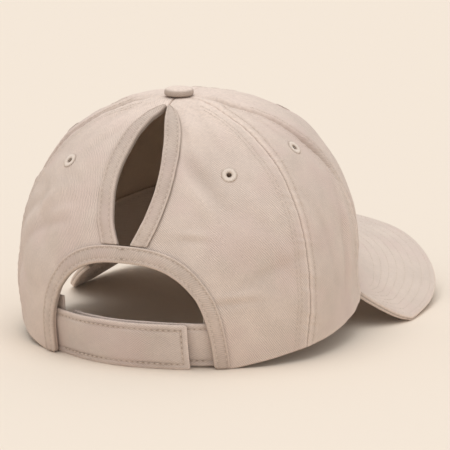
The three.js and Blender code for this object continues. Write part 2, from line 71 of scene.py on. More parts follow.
def table(columns, *rows):
    """A table whose columns are named once."""
    names = columns.split()
    return [dict(zip(names, row)) for row in rows]


# The pattern tables of the cap. Turns are degrees round the crown from the middle of the back
# towards its left side; a share is a part of the size that the column names.

# Rim: how far it draws in below the bulge, as a share of the rim's tuck.
RIM_DRAW = table(
    "turn tuck",
    (0, 1),
    (38, 0.85),
    (50, 0.7),
    (70, 0.55),
    (90, 0.25),
    (105, -0.5),
    (116, -0.9),
    (150, -0.5),
    (180, -0.3),
)

# Rim lift from the back to the visor's corner, as a share of the corner's height.
RIM_RISE = table(
    "to_corner lift",
    (0, 0),
    (0.33, 0),
    (0.43, 0.12),
    (0.6, 0.32),
    (0.78, 0.5),
    (0.9, 0.72),
    (1, 1),
)

# Teardrop: half width and tape beside it, from its bottom to its point.
TEARDROP = table(
    "along open tape",
    (0, 0.27, 1.12),
    (0.13, 0.68, 1.06),
    (0.28, 0.94, 1),
    (0.39, 1, 0.97),
    (0.49, 0.95, 0.97),
    (0.58, 0.82, 1.02),
    (0.69, 0.63, 1.03),
    (0.78, 0.43, 0.98),
    (0.87, 0.23, 0.82),
    (0.95, 0.08, 0.5),
    (1, 0.01, 0.12),
)

# Soft folds: turn, share of the panel's length, half sizes, slant and depth.
FOLDS = table(
    "turn along wide long slant depth",
    (-56, 0.26, 15, 0.065, 0, 0.6),
    (-54, 0.37, 15, 0.06, 0.001, -0.4),
    (-30, 0.6, 8, 0.13, -0.008, 0.4),
    (-50, 0.47, 10, 0.16, -0.006, -0.35),
    (48, 0.42, 14, 0.045, 0.006, 0.7),
    (40, 0.51, 14, 0.06, 0.004, -0.4),
    (60, 0.25, 12, 0.04, 0.004, 0.5),
    (-92, 0.35, 10, 0.12, 0.004, 0.6),
    (92, 0.38, 10, 0.11, -0.004, 0.5),
    (-150, 0.42, 16, 0.07, 0.002, 0.5),
    (150, 0.45, 15, 0.07, -0.002, 0.5),
)

# Fine creases that the washing left: where, the angle from level as seen from outside, half
# sizes in millimetres, and depth in millimetres.
CREASES = table(
    "turn along angle long wide depth",
    (-32, 0.57, -62, 20, 4.2, 0.95),
    (-28, 0.535, -62, 17, 3.6, -0.6),
    (-38, 0.46, -48, 22, 4.5, -0.45),
    (-39, 0.205, 3, 12, 1.8, 0.4),
    (-39, 0.23, 2, 12, 2.2, -0.35),
    (-58, 0.3, 12, 24, 3.4, 0.4),
    (-25, 0.4, -8, 9, 1.8, 0.3),
    (-26, 0.42, -8, 8, 1.7, -0.35),
    (-19, 0.74, 96, 20, 1.5, -0.5),
    (-24, 0.74, 96, 20, 1.8, 0.4),
    (-42, 0.8, 88, 26, 2.6, 0.45),
    (-56, 0.78, 92, 22, 2.2, -0.35),
    (58, 0.4, 52, 20, 3.4, 0.6),
    (51, 0.4, 52, 20, 3.2, -0.5),
    (46, 0.37, 48, 19, 3, 0.55),
    (36, 0.4, 22, 14, 2.4, 0.5),
    (35, 0.44, 26, 13, 2.4, -0.4),
    (33, 0.7, 70, 18, 3, 0.45),
    (50, 0.8, 93, 24, 2.6, 0.4),
    (62, 0.2, 78, 22, 3, 0.5),
    (-84, 0.34, -76, 28, 3.6, 0.45),
    (-97, 0.28, 84, 30, 3.2, 0.55),
    (-101, 0.32, 86, 30, 2.8, -0.45),
    (-88, 0.78, 90, 24, 2.4, 0.4),
    (84, 0.36, 72, 28, 3.6, 0.5),
    (98, 0.3, 96, 30, 3.2, 0.5),
    (88, 0.78, 90, 24, 2.4, 0.4),
    (-124, 0.34, 80, 30, 3.6, 0.55),
    (-129, 0.36, 80, 28, 3.2, -0.4),
    (-146, 0.3, 14, 26, 3.4, 0.5),
    (-140, 0.74, 92, 26, 3, 0.4),
    (126, 0.36, 98, 30, 3.6, 0.5),
    (144, 0.32, -12, 26, 3.4, 0.5),
    (142, 0.74, 90, 26, 3, 0.4),
    (168, 0.5, 84, 24, 3.2, 0.4),
    (-166, 0.42, 100, 24, 3.2, 0.4),
)
CREASE_BOW = 4

# Washed cloth waves: wave length, direction, a shift, and height.
WAVES = table(
    "length x y z shift height",
    (47, 0.8, 0.3, 0.5, 0.4, 0.32),
    (31, -0.5, 0.7, 0.5, 2.1, 0.22),
    (23, 0.3, -0.4, 0.86, 4.4, 0.16),
    (13, 0.6, 0.6, -0.52, 1.3, 0.075),
    (9, -0.7, 0.2, 0.68, 3.6, 0.04),
)
# How the waves wander, and the share of them that is left at the rim.
WARP = {"size": 1.1, "direction": (61.0, 83.0, -47.0), "shift": 0.7, "growth": 1.3}
RIM_CALM = 0.35

# Panels: a length for the patterns along them, the hole under the button, the space between two
# panels, a height inside the crown, how far their columns crowd towards the seams, and the share of
# the arch's quarter turn that a back panel follows before the teardrop.
PANEL_LENGTH = 170 * MM
TOP_HOLE = 2.3 * MM
PANEL_GAP = 0.02 * MM
HOLLOW_MIDDLE = 40 * MM
SEAM_CROWDING = 0.13
ARCH_END = 0.93

# Where reliefs and tones come in and end, as shares of the panel's length.
DIP_END = (0.8, 0.95)
SEAM_END = (0.86, 0.97)
VALLEY_START = (0.3, 0.5)
FOLD_START = (0.36, 0.6)
FOLD_END = (0.86, 0.96)
WEAR_END = (0.9, 0.98)
# The painted highlight over the upper crown comes in over these shares.
TOP_LIGHT = (0.6, 0.92)
ROW_END = 0.02

# Sewn relief: the step at an allowance's edge in millimetres, the puckers' course, and a row's furrow.
ALLOWANCE_STEP = 1.2
PUCKER = {"reach": 7 * MM, "wander": 2.2, "rate": 310, "slant": 400}
ROW_FURROW = {"depth": 0.2 * MM, "wide": 0.75 * MM}

# Top stitching: rows beside each seam, in millimetres from it, above zero towards the front,
# and the share of the panel's length where the row ends.
SEAM_ROWS = table(
    "seam offset top",
    ("back_side", -8.4, 0.84),
    ("back_side", -6.2, 0.87),
    ("back_side", 3.9, 0.86),
    ("side_front", -5, 0.8),
    ("side_front", 5, 0.8),
    ("front", -4, 0.86),
    ("front", -6.2, 0.86),
)

# Each seam: how far its allowance reaches behind and ahead under the cloth, its sharp groove, and
# the depth and half width of the soft valley along it, in millimetres.
SEAM_FORMS = table(
    "seam behind ahead groove valley wide",
    ("back_side", 9.6, 5.6, 0.5, 0.2, 2.4),
    ("side_front", 7, 7.4, 0.4, 0.4, 2.7),
    ("front", 7.4, 7.4, 0.5, 0.3, 2.4),
    ("back", 7.4, 7.4, 0.75, 0.2, 1.6),
)

# Deep soft folds that run along the upper part of a seam, on one side of the cap: offset,
# half width and depth in millimetres, and how much painted shade darkens the bottom.
SEAM_FOLDS = table(
    "seam side offset wide depth tone",
    ("side_front", -1, 0.6, 2.1, 2.3, 0.4),
    ("side_front", 1, 0.2, 2.6, 1.4, 0.25),
    ("back_side", 1, 1.2, 2, 2, 0.42),
)

EYELETS = table(
    "name turn along",
    ("back", 43.9, 0.583),
    ("side", 91, 0.595),
    ("front", 146, 0.6),
)

# Tape folded round a cloth edge: q is a share of the tape's width, out is millimetres off the cloth.
TAPE_SECTION = table(
    "q out",
    (0.97, 0.5),
    (1.03, 0.7),
    (1.02, 1.15),
    (0.96, 1.35),
    (0.9, 1.15),
    (0.845, 0.8),
    (0.79, 1.1),
    (0.65, 1.28),
    (0.5, 1.3),
    (0.33, 1.22),
    (0.24, 0.85),
    (0.17, 1.15),
    (0.07, 1.15),
    (0, 0.55),
    (-0.03, -0.7),
    (0, -1.95),
    (0.08, -2.5),
    (0.3, -2.6),
    (0.6, -2.6),
    (0.9, -2.6),
    (1, -2.5),
    (1, -2),
    (0.6, -1.95),
    (0.16, -1.9),
    (0.12, -0.7),
    (0.16, 0.45),
    (0.6, 0.5),
)

# The tape's two rows of stitching as shares of its width, its steps along the two openings, and the
# painted shadow line on the cloth beside it.
OUTER_ROW = 0.845
INNER_ROW = 0.24
ARCH_STATIONS = 150
TEARDROP_STATIONS = 110
TAPE_LINE = {"offset": 0.35 * MM, "wide": 0.45 * MM, "end": 0.99}

# Tones: how far wear lightens a place or painted shade darkens a crevice, as a share of the full change.
# The seam lines, rows, creases and tape lines are painted shade; "top" is a painted highlight over the upper
# crown.
DARKEST = 0.9
TONES = {
    "seam_ridge": 0.5,
    "seam_line": 0.6,
    "row": 0.1,
    "crease": 0.1,
    "crease_ridge": 0.3,
    "tape_line": 0.5,
    "rim": 0.5,
    "top": 0.95,
}
# Tapes: wear on the folds and the inside; painted shade in the rows' furrows, under the outer edge and at the
# lip.
TAPE_TONES = {"inner_fold": 0.7, "row": 0.2, "inner_row": 0.6, "under": 0.85, "lip": 0.55, "inside": 0.3}
# Visor: painted shade in the rows and in the groove round the edge; wear on the edge.
VISOR_TONES = {"row": 0.015, "edge_groove": 0.6, "edge": 0.9}

# Cloths: colour, pitch of the twill in millimetres, its turn in degrees, how uneven the washed tone
# is, and how much painted shade darkens the cloth between its ribs.
CLOTHS = table(
    "name colour pitch turned wave ribs",
    ("washed_crown_twill", "crown", 0.98, 5, 0.09, 0.8),
    ("crown_twill_reverse", "inside", 0.98, 0, 0.06, 0.35),
    ("folded_tape_cotton", "tape", 1.05, 30, 0.15, 0.55),
    ("washed_strap_twill", "strap", 0.98, 25, 0.09, 0.75),
    ("washed_visor_twill", "visor", 0.98, 20, 0.07, 0.45),
    ("soft_band_cotton", "band", 0.9, 80, 0.05, 0.25),
    ("fastener_pile", "band", 0.7, 0, 0.1, 0.5),
)
CLOTH_LOOKS = {
    "Sheen Weight": 0.14,
    "Sheen Roughness": 0.5,
    "Sheen Tint": (1, 0.96, 0.9, 1),
    "Specular IOR Level": 0.25,
}
THREAD_LOOKS = {"Sheen Weight": 0.2, "Specular IOR Level": 0.35}

# Twill: how its ribs lean and wander over the weave map, yarns to a rib, and the heights that ribs,
# yarns and fibres add to a middle one.
TWILL = {
    "across": 0.9,
    "along": -0.62,
    "wander": 0.0017,
    "yarn_rate": 2.2,
    "rib_height": 0.36,
    "yarn_height": 0.19,
    "fibre_height": 0.5,
    "middle": 0.25,
}

# Stitches: a thread's facets, its section and seat as shares, and how unevenly it lies.
THREAD_SIDES = 8
THREAD_STEPS = 5
THREAD_HIGH = 0.85
THREAD_BEND = 0.5
THREAD_SEAT = 0.35
HOLE_SUNK = 0.4
STITCH_SLANT = 0.09
STITCH_UNEVEN = 0.04

# Eyelets: a satin strand in millimetres, its length as a share of the bead, and the ring below it.
STRAND = {"long": 1.12, "wide": 0.62, "high": 0.5, "bend": 0.42, "sunk": 0.25}
CORE_SHARE = 0.9
CORE_SIDES = 14
CORE_STEPS = 48

STRAND_UNEVEN = {"turn": 0.2, "out": 0.05, "shift": 0.08}
HOLE_MARGIN = 0.5 * MM
HOLE_RIM = 1.6 * MM

# Rounded cloth edges.
EDGE_STEPS = 3
SHARP_EDGE = math.radians(50)

# Stage, in metres: how far the camera sees, and how far off the lights stand.
CAMERA_END = 50
LIGHT_DISTANCE = 3

# Straps: how far the outer face lies outside the wall, from its free end to its root, across as a
# share of the arch's half width, out in millimetres.
STRAP_ROUTE = table(
    "across out",
    (-1, 0.4),
    (-0.4, 0.6),
    (0.2, 0.2),
    (0.6, -1.2),
    (0.88, -3),
    (1.2, -3),
)

# Where the inner strap leaves the outer one, the straps' relief in millimetres, and their cells.
INNER_STRAP_EASING = {"under": 0.6, "root": 0.9}
STRAP_RELIEF = {"furrow": 0.45, "rolled": 0.35, "ripple": 0.12, "sag": 0.8, "highest": 0.3}
STRAP_GRID = (120, 36)

# Sweatband: degrees from the back over which it leaves the straps, and past the visor's corner;
# its row of stitching below the upper edge; and the radius that lays it flat.
BAND_EASING = {"strap": 45, "wall": 75, "corner": 8}
BAND_ROW = 3 * MM
BAND_RADIUS = 90 * MM
BAND_GRID = (420, 24)

# Visor: section from the root over the top, round the edge and back below, out as a share of
# its reach, down as a share of its thickness, proud in millimetres beyond the edge.
VISOR_SECTION = table(
    "out down proud cells",
    (0, 0, 0, 56),
    (0.975, 0, 0, 3),
    (0.99, 0.04, -0.1, 2),
    (1, 0.22, 0.25, 1),
    (1, 0.4, 0.28, 1),
    (1, 0.5, -0.25, 1),
    (1, 0.6, 0.28, 1),
    (1, 0.8, 0.2, 2),
    (0.99, 0.97, -0.1, 3),
    (0.975, 1, 0, 44),
    (0, 1, 0, 3),
    (0, 0, 0, 0),
)

# The visor's rows of stitching as shares of its reach, its steps from side to side, the depth of a
# row's furrow in millimetres, and the share of the cloth's waves on it.
VISOR_ROWS = [0.945, 0.86, 0.775, 0.69, 0.605, 0.52, 0.435, 0.35]
VISOR_STATIONS = 200
VISOR_FURROW = 0.09
VISOR_WAVES = 0.4

# Button: shares of its radius and height, from its middle to its foot.
BUTTON_PROFILE = table(
    "radius height",
    (0, 1),
    (0.4, 0.98),
    (0.68, 0.92),
    (0.86, 0.83),
    (0.95, 0.73),
    (0.99, 0.62),
    (1, 0.45),
    (1, 0.25),
    (0.99, 0.06),
    (0.95, 0),
    (0.3, 0),
)

# The button's steps round its axis, its gathers in millimetres, and how dark the painted shade on its
# sides and at its foot is.
BUTTON_STEPS = 72
BUTTON_GATHER = 0.12
BUTTON_SHADE = 0.3


def length(name, description, millimetres):
    """A size of the cap, in metres."""
    return FloatProperty(
        name=name, description=description, default=millimetres * MM, subtype="DISTANCE", unit="LENGTH"
    )


def share(name, description, value):
    """A share or another plain number."""
    return FloatProperty(name=name, description=description, default=value)


def whole_number(name, description, value):
    return IntProperty(name=name, description=description, default=value, min=1)


def angle(name, description, degrees):
    """An angle, kept in radians."""
    return FloatProperty(name=name, description=description, default=math.radians(degrees), subtype="ANGLE")


def colour(name, description, *value):
    """A linear colour."""
    return FloatVectorProperty(name=name, description=description, default=value, subtype="COLOR", size=3)


class CapSizes(bpy.types.PropertyGroup):
    """Sizes of the cap's pattern, which follow the frame."""

    crown_height: length("Crown height", "Floor to the crown's top, under the button", 126.3)
    half_width: length("Crown half width", "Half the crown's width at the bulge", 86.2)
    front_length: length("Front length", "Crown's centre to its front at the bulge", 108.8)
    back_length: length("Back length", "Crown's centre to its back at the bulge", 77.9)
    top_setback: length("Top setback", "How far the button lies behind the crown's centre", 5.2)
    bulge_height: length("Bulge height", "Height of the crown's widest level", 37)
    bulge_share: share("Bulge share", "Share of the cloth's length below the bulge", 0.22)
    round_front: share("Front roundness", "Fullness of the front's profile", 2.44)
    round_side: share("Side roundness", "Fullness of the sides' profile", 2.24)
    round_back: share("Back roundness", "Fullness of the back's profile", 1.77)
    back_seam: angle("Back seam", "Turn of the seam between back and side panels", 70.3)
    front_seam: angle("Front seam", "Turn of the seam between side and front panels", 112)
    seam_drift: angle("Seam drift", "How far the front seam leans back towards the top", 17)
    seam_dip: length("Seam dip", "Depth of the soft valley along a seam", 0.7)
    seam_dip_width: length("Seam dip width", "Half width of that valley", 5)
    fold_depth: length("Fold depth", "Depth of a fold whose depth share is one", 2)
    crease_depth: share("Crease depth", "Share of the creases' listed depth", 1.5)
    rim_tuck: length("Rim tuck", "How far the rim draws in at the back", 6.5)
    cloth: length("Cloth thickness", "Thickness of the lined cotton twill", 1.4)
    gap: length("Gap", "Space that the frame leaves between pieces", 0.3)
    layer_gap: length("Layer gap", "Space that the frame leaves between layers", 0.5)
    seam_groove_width: length("Seam groove width", "Half width of the sharp groove", 0.4)
    seam_ridge: length("Seam ridge", "Rise of the cloth over its seam allowance", 0.4)
    pucker: length("Pucker", "Height of the puckers along the stitching", 0.16)
    pucker_length: length("Pucker length", "Spacing of the puckers", 6.4)
    tape_width: length("Tape width", "Width of the folded tape", 8)
    tape_narrowing: share("Arch tape width", "Tape width across the arch's sides, as a share", 0.82)
    arch_half_width: length("Arch half width", "Half the back opening's width", 43.9)
    arch_height: length("Arch height", "Height of the back opening", 53.6)
    arch_power: share("Arch power", "Fullness of the arch's curve", 2.56)
    cloth_edge: share("Cloth edge", "Where the cloth ends inside the tape, in tape widths", 0.22)
    teardrop_half_width: length("Teardrop half width", "Half the teardrop's widest opening", 11.1)
    teardrop_length: length("Teardrop length", "Length of the teardrop up the cloth", 84.3)
    visor_half_width: length("Visor half width", "Half the visor's width", 98)
    visor_reach: length("Visor reach", "Crown's centre to the visor's front", 181.8)
    visor_widest: length("Visor widest reach", "Crown's centre to the visor's widest line", 74)
    visor_crest: length("Visor crest height", "Height of the visor's middle at its widest line", 40)
    visor_droop: length("Visor droop", "How far the visor's front hangs below that", 9.8)
    visor_thickness: length("Visor thickness", "Board and two layers of cloth", 3.3)
    visor_turn: angle("Visor turn", "Half the turn along which the visor is sewn on", 64)
    visor_arch_power: share("Visor arch power", "Fullness of the visor's bend", 2.6)
    visor_outline_power: share("Visor outline power", "Fullness of the visor's front edge", 2.5)
    visor_corner_power: share("Visor corner power", "Fullness of the visor's rear corners", 1.5)
    visor_tip_stretch: share("Visor tip stretch", "Share of the outline ahead of the widest line", 0.8)
    button_radius: length("Button radius", "Radius of the covered button", 7.45)
    button_height: length("Button height", "Height of the covered button", 4.2)
    eyelet_radius: length("Eyelet radius", "Outer radius of the sewn eyelet", 4.1)
    eyelet_hole: length("Eyelet hole", "Radius of the eyelet's hole", 1.35)
    eyelet_bead: length("Eyelet bead", "Height of the sewn bead round the hole", 0.6)
    band_width: length("Sweatband width", "Height of the sweatband", 30)
    band_thickness: length("Sweatband thickness", "Thickness of the folded band", 1.2)
    band_gap: length("Sweatband gap", "Space between sweatband and cloth", 0.5)
    band_overhang: length("Sweatband overhang", "How far the band's ends show in the arch", 3.5)
    band_lift: length("Sweatband lift", "Height of the band above the rim", 1)
    strap_width: length("Strap width", "Width of the closing straps", 24)
    strap_thickness: length("Strap thickness", "Thickness of a folded strap", 2)
    strap_root: length("Strap root", "How far a strap reaches behind the arch's tape", 5)
    outer_strap_end: length("Outer strap end", "End of the outer strap, past the middle", 33)
    inner_strap_end: length("Inner strap end", "End of the inner strap, past the middle", 37)
    inner_strap_lift: length("Inner strap lift", "Height of the inner strap above the floor", 1)
    strap_corner: length("Strap corner", "Radius of the outer strap's end corners", 1.1)
    patch_thickness: length("Patch thickness", "Thickness of the hook-and-loop patch", 1.6)
    patch_margin: length("Patch margin", "Space from the patch to the straps' edges", 3)
    tape_thickness: length("Tape thickness", "Thickness of one layer of tape", 0.7)


class CapSewing(bpy.types.PropertyGroup):
    """Sizes of the thread and the stitches."""

    stitch: length("Stitch length", "Length of one stitch", 2.1)
    space: length("Stitch space", "Cloth between two stitches", 0.8)
    thread: length("Thread width", "Width of the sewing thread", 0.52)
    rise: length("Thread rise", "How far the thread stands above the cloth", 0.2)
    hole: length("Needle hole", "Radius of a needle hole", 0.46)
    seam_hole: length("Seam needle hole", "Radius of a needle hole beside the seams", 0.27)
    fine_hole: length("Fine needle hole", "Radius of a needle hole in the visor", 0.2)
    edge_row: length("Edge row", "Distance of a strap's edge stitching from its edge", 3)
    satin_strands: whole_number("Satin strands", "Threads round one eyelet", 46)
    seed: whole_number("Seed", "Start of the small irregularities", 7)


class CapColours(bpy.types.PropertyGroup):
    """Colours of the cloths and threads."""

    crown: colour("Crown cotton", "Washed cotton of the panels", 0.762, 0.628, 0.542)
    visor: colour("Visor cotton", "Washed cotton of the visor", 0.745, 0.625, 0.54)
    tape: colour("Tape", "Cotton tape round the openings", 0.625, 0.51, 0.434)
    strap: colour("Strap cotton", "Cotton of the straps", 0.705, 0.588, 0.516)
    band: colour("Sweatband", "Cotton of the sweatband and patch", 0.66, 0.545, 0.46)
    inside: colour("Cloth inside", "Reverse side of the panels", 0.72, 0.57, 0.44)
    thread: colour("Thread", "Sewing thread", 0.69, 0.575, 0.485)
    eyelet: colour("Eyelet thread", "Satin thread of the eyelets", 0.8, 0.69, 0.6)
    # The crevice colour is painted shade: it darkens seams, folds, furrows, needle holes and the button's
    # foot.
    crevice: colour("Crevice", "Tone of deep seams and needle holes", 0.2, 0.14, 0.1)
    floor: colour("Floor", "Pale floor", 0.828, 0.729, 0.622)


class CapStage(bpy.types.PropertyGroup):
    """Camera, floor and lights."""

    azimuth: angle("Azimuth", "Turn of the camera round the cap", 203.161)
    elevation: angle("Elevation", "Camera's angle above the floor", 12.496)
    distance: length("Distance", "Camera to the point it looks at", 2298.4)
    aim_x: length("Aim across", "Point looked at, to the cap's left", -19.618)
    aim_y: length("Aim behind", "Point looked at, behind the crown's centre", -8.393)
    aim_z: length("Aim height", "Point looked at, above the floor", 57.665)
    lens: share("Lens", "Focal length in millimetres", 358.53)
    floor_size: length("Floor size", "Side of the floor", 16000)
    key_strength: share("Key strength", "Strength of the high soft light", 1.3)
    key_turn: angle("Key turn", "Turn of the key light to the camera's left", 35)
    key_height: angle("Key height", "Angle of the key light above the floor", 84)
    fill_strength: share("Fill strength", "Strength of the low fill light", 0.18)
    fill_turn: angle("Fill turn", "Turn of the fill light to the camera's left", -22)
    fill_height: angle("Fill height", "Angle of the fill light above the floor", 18)
    softness: angle("Softness", "How large the lights look from the cap", 56)
    sky: share("Sky", "Strength of the light from all round", 0.68)


def sizes():
    return bpy.context.scene.cap_sizes


def thread_sizes():
    return bpy.context.scene.cap_sewing


def cap_colours():
    return bpy.context.scene.cap_colours


def crown_centre_y():
    """The crown's centre in the frame, from the front of the visor."""
    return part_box("visor")[0].y + sizes().visor_reach


def frame_shift():
    """From the crown's own axes to the frame."""
    return np.array([0, crown_centre_y(), 0])


# Numbers and tables


def blend_in(value, low, high):
    part = np.clip((value - low) / (high - low), 0, 1)
    return part * part * (3 - 2 * part)


def mixed(first, second, part):
    return first + (second - first) * part


def bell(away, width):
    """1 in the middle, fading to nearly nothing at twice this half width."""
    return np.exp(-((away / width) ** 2))


def from_table(rows, key, value, column):
    """Looks up a table by one column and blends smoothly between its rows."""
    keys = np.array([row[key] for row in rows], float)
    values = np.array([row[column] for row in rows], float)
    last = len(rows) - 1
    ahead = np.minimum(np.arange(last + 1) + 1, last)
    behind = np.maximum(np.arange(last + 1) - 1, 0)
    slopes = (values[ahead] - values[behind]) / (keys[ahead] - keys[behind])
    at = np.clip(value, keys[0], keys[-1])
    k = np.clip(np.searchsorted(keys, at, side="right") - 1, 0, last - 1)
    span = keys[k + 1] - keys[k]
    s = (at - keys[k]) / span
    rise = s * s * (3 - 2 * s)
    bend = span * (s * (1 - s) ** 2 * slopes[k] - s * s * (1 - s) * slopes[k + 1])
    return mixed(values[k], values[k + 1], rise) + bend


def run_along(points):
    """The distance gone at each point of a line."""
    return np.concatenate([[0], np.cumsum(np.linalg.norm(np.diff(points, axis=0), axis=1))])


def unit(vectors):
    return vectors / np.maximum(np.linalg.norm(vectors, axis=-1, keepdims=True), 1e-12)


# The crown's surface. turn is in radians; share runs from 0 at the floor to 1 at the top.


def folded(turn):
    return np.arctan2(np.sin(turn), np.cos(turn))


def from_back(turn):
    return np.abs(np.degrees(folded(turn)))


def bend_power(turn):
    s = sizes()
    front = ((1 - np.cos(turn)) / 2) ** 2
    back = ((1 + np.cos(turn)) / 2) ** 2
    return 2 / (s.round_front * front + s.round_side * (1 - front - back) + s.round_back * back)


def profile_angle(share_up):
    s = sizes()
    return np.clip((share_up - s.bulge_share) / (1 - s.bulge_share), 0, 1) * QUARTER


def spread_at(turn, share_up):
    s = sizes()
    above = np.maximum(np.cos(profile_angle(share_up)), 0) ** bend_power(turn)
    below = np.clip(1 - share_up / s.bulge_share, 0, None)
    tuck = s.rim_tuck * from_table(RIM_DRAW, "turn", from_back(turn), "tuck")
    return np.where(share_up >= s.bulge_share, above, 1 - tuck / s.half_width * below**2)


def height_at(turn, share_up):
    s = sizes()
    dome = (s.crown_height - s.bulge_height) * np.sin(profile_angle(share_up)) ** bend_power(turn)
    below = s.bulge_height * share_up / s.bulge_share
    return np.where(share_up >= s.bulge_share, s.bulge_height + dome, below)


def share_at_height(turn, height):
    s = sizes()
    part = np.clip((height - s.bulge_height) / (s.crown_height - s.bulge_height), 0, 1)
    above = s.bulge_share + (1 - s.bulge_share) * np.arcsin(part ** (1 / bend_power(turn))) / QUARTER
    return np.where(height >= s.bulge_height, above, s.bulge_share * height / s.bulge_height)


def crown_length(turn):
    s = sizes()
    return np.where(np.cos(turn) > 0, s.back_length, s.front_length)


def plain_point(turn, share_up):
    s = sizes()
    spread = spread_at(turn, share_up)
    ahead = s.top_setback + (crown_length(turn) * np.cos(turn) - s.top_setback) * spread
    return np.stack([s.half_width * np.sin(turn) * spread, ahead, height_at(turn, share_up)], -1)


def outward_at(turn, share_up):
    """The outward direction; below the bulge it is level."""
    low = np.maximum(share_up - STEP, 0)
    along = plain_point(turn, share_up + STEP) - plain_point(turn, low)
    across = plain_point(turn + STEP, share_up) - plain_point(turn - STEP, share_up)
    outward = np.cross(along, across)
    outward[..., 2] = np.where(share_up < sizes().bulge_share, 0, outward[..., 2])
    return unit(outward)


def seam_turn(seam, share_up):
    s = sizes()
    if seam == "back_side":
        return s.back_seam + 0 * share_up
    if seam == "side_front":
        return s.front_seam - s.seam_drift * blend_in(share_up, s.bulge_share, 1)
    return (0 if seam == "back" else math.pi) + 0 * share_up


def turn_length(turn, share_up):
    """Metres of cloth for each radian of turn."""
    level = np.hypot(sizes().half_width * np.cos(turn), crown_length(turn) * np.sin(turn))
    return level * spread_at(turn, share_up)


def seam_distance(seam, turn, share_up):
    away = np.abs(folded(turn)) - seam_turn(seam, share_up)
    return away * np.maximum(turn_length(turn, share_up), MM)


def folds_at(turn, share_up):
    """Depth of the soft folds, in metres."""
    total = 0 * turn
    for row in FOLDS:
        across = np.degrees(folded(turn)) - row["turn"]
        along = share_up - row["along"] - row["slant"] * across
        total = total + row["depth"] * bell(across, row["wide"]) * bell(along, row["long"])
    return total * sizes().fold_depth


def dip_at(turn, share_up):
    """Depth of the soft folds and of the valleys along the seams, in metres."""
    s = sizes()
    fade = blend_in(share_up, s.bulge_share / 2, s.bulge_share * 2) * (1 - blend_in(share_up, *DIP_END))
    dip = folds_at(turn, share_up)
    for seam in ("back_side", "side_front", "front"):
        away = (np.abs(folded(turn)) - seam_turn(seam, share_up)) * s.half_width * spread_at(turn, share_up)
        dip = dip + s.seam_dip * fade * bell(away, s.seam_dip_width)
    return dip


def creases_at(turn, share_up):
    """Depth of the washing's creases, in metres."""
    total = 0 * turn
    scale = turn_length(turn, share_up)
    for row in CREASES:
        right = -folded(turn - math.radians(row["turn"])) * scale
        up = (share_up - row["along"]) * PANEL_LENGTH
        tilt = math.radians(row["angle"])
        along = right * math.cos(tilt) + up * math.sin(tilt)
        across = up * math.cos(tilt) - right * math.sin(tilt) + along**2 * CREASE_BOW
        total = total + row["depth"] * MM * bell(along, row["long"] * MM) * bell(across, row["wide"] * MM)
    return total * sizes().crease_depth


def waves_at(points):
    """Soft unevenness of washed cloth, in metres."""
    total = 0
    warp = WARP["size"] * np.sin(points @ np.array(WARP["direction"]) + WARP["shift"])
    for row in WAVES:
        direction = np.array([row["x"], row["y"], row["z"]]) * FULL_TURN / (row["length"] * MM)
        total = total + row["height"] * MM * np.sin(points @ direction + row["shift"] + warp)
        warp = -warp * WARP["growth"]
    return total


def fold_beside_seam(row, turn, share_up):
    """Where a fold along a seam lies, from 0 beside it to 1 in its bottom."""
    away = seam_distance(row["seam"], turn, share_up) - row["offset"] * MM
    upper = blend_in(share_up, *FOLD_START) * (1 - blend_in(share_up, *FOLD_END))
    return upper * bell(away, row["wide"] * MM) * (folded(turn) * row["side"] > 0)


def stitched_rows(turn, share_up, width):
    """How near the rows of top stitching are, up to 1 on a row."""
    total = 0 * turn
    for row in SEAM_ROWS:
        away = seam_distance(row["seam"], turn, share_up) - row["offset"] * MM
        sewn = 1 - blend_in(share_up, row["top"] - ROW_END, row["top"] + ROW_END)
        total = total + bell(away, width) * sewn
    return total


def relief_at(turn, share_up):
    """What sewing and washing add to the plain cloth, in metres outwards."""
    s = sizes()
    calm = mixed(RIM_CALM, 1, blend_in(share_up, 0, s.bulge_share))
    relief = waves_at(plain_point(turn, share_up)) * calm - creases_at(turn, share_up)
    near_top = 1 - blend_in(share_up, *SEAM_END)
    upper = blend_in(share_up, *VALLEY_START) * near_top
    run = share_up * PANEL_LENGTH
    for row in SEAM_FORMS:
        away = seam_distance(row["seam"], turn, share_up)
        behind = blend_in(away, (-row["behind"] - ALLOWANCE_STEP) * MM, -row["behind"] * MM)
        ahead = 1 - blend_in(away, row["ahead"] * MM, (row["ahead"] + ALLOWANCE_STEP) * MM)
        wander = PUCKER["wander"] * np.sin(run * PUCKER["rate"]) + away * PUCKER["slant"]
        waver = np.sin(FULL_TURN * run / s.pucker_length + wander)
        relief = relief - row["valley"] * MM * upper * bell(away, row["wide"] * MM)
        relief = relief + s.seam_ridge * behind * ahead * near_top
        relief = relief + s.pucker * waver * bell(away, PUCKER["reach"]) * near_top
        relief = relief - row["groove"] * MM * bell(away, s.seam_groove_width)
    relief = relief - sum(fold_beside_seam(row, turn, share_up) * row["depth"] * MM for row in SEAM_FOLDS)
    return relief - ROW_FURROW["depth"] * stitched_rows(turn, share_up, ROW_FURROW["wide"])


def crown_point(turn, share_up, out=0.0, sewn=True):
    """A point on or beside the cloth, out metres outside it, in the frame."""
    turn, share_up = np.broadcast_arrays(np.asarray(turn, float), np.asarray(share_up, float))
    rise = out - dip_at(turn, share_up)
    if sewn:
        rise = rise + relief_at(turn, share_up)
    return plain_point(turn, share_up) + outward_at(turn, share_up) * np.asarray(rise)[..., None]


def wall_point(turn, height, out):
    """A point beside the upright wall near the rim."""
    share_up = share_at_height(turn, height)
    outward = outward_at(turn, share_up)
    outward[..., 2] = 0
    points = plain_point(turn, share_up)
    rise = out - np.maximum(dip_at(turn, share_up), 0)
    return points + unit(outward) * np.asarray(rise)[..., None]


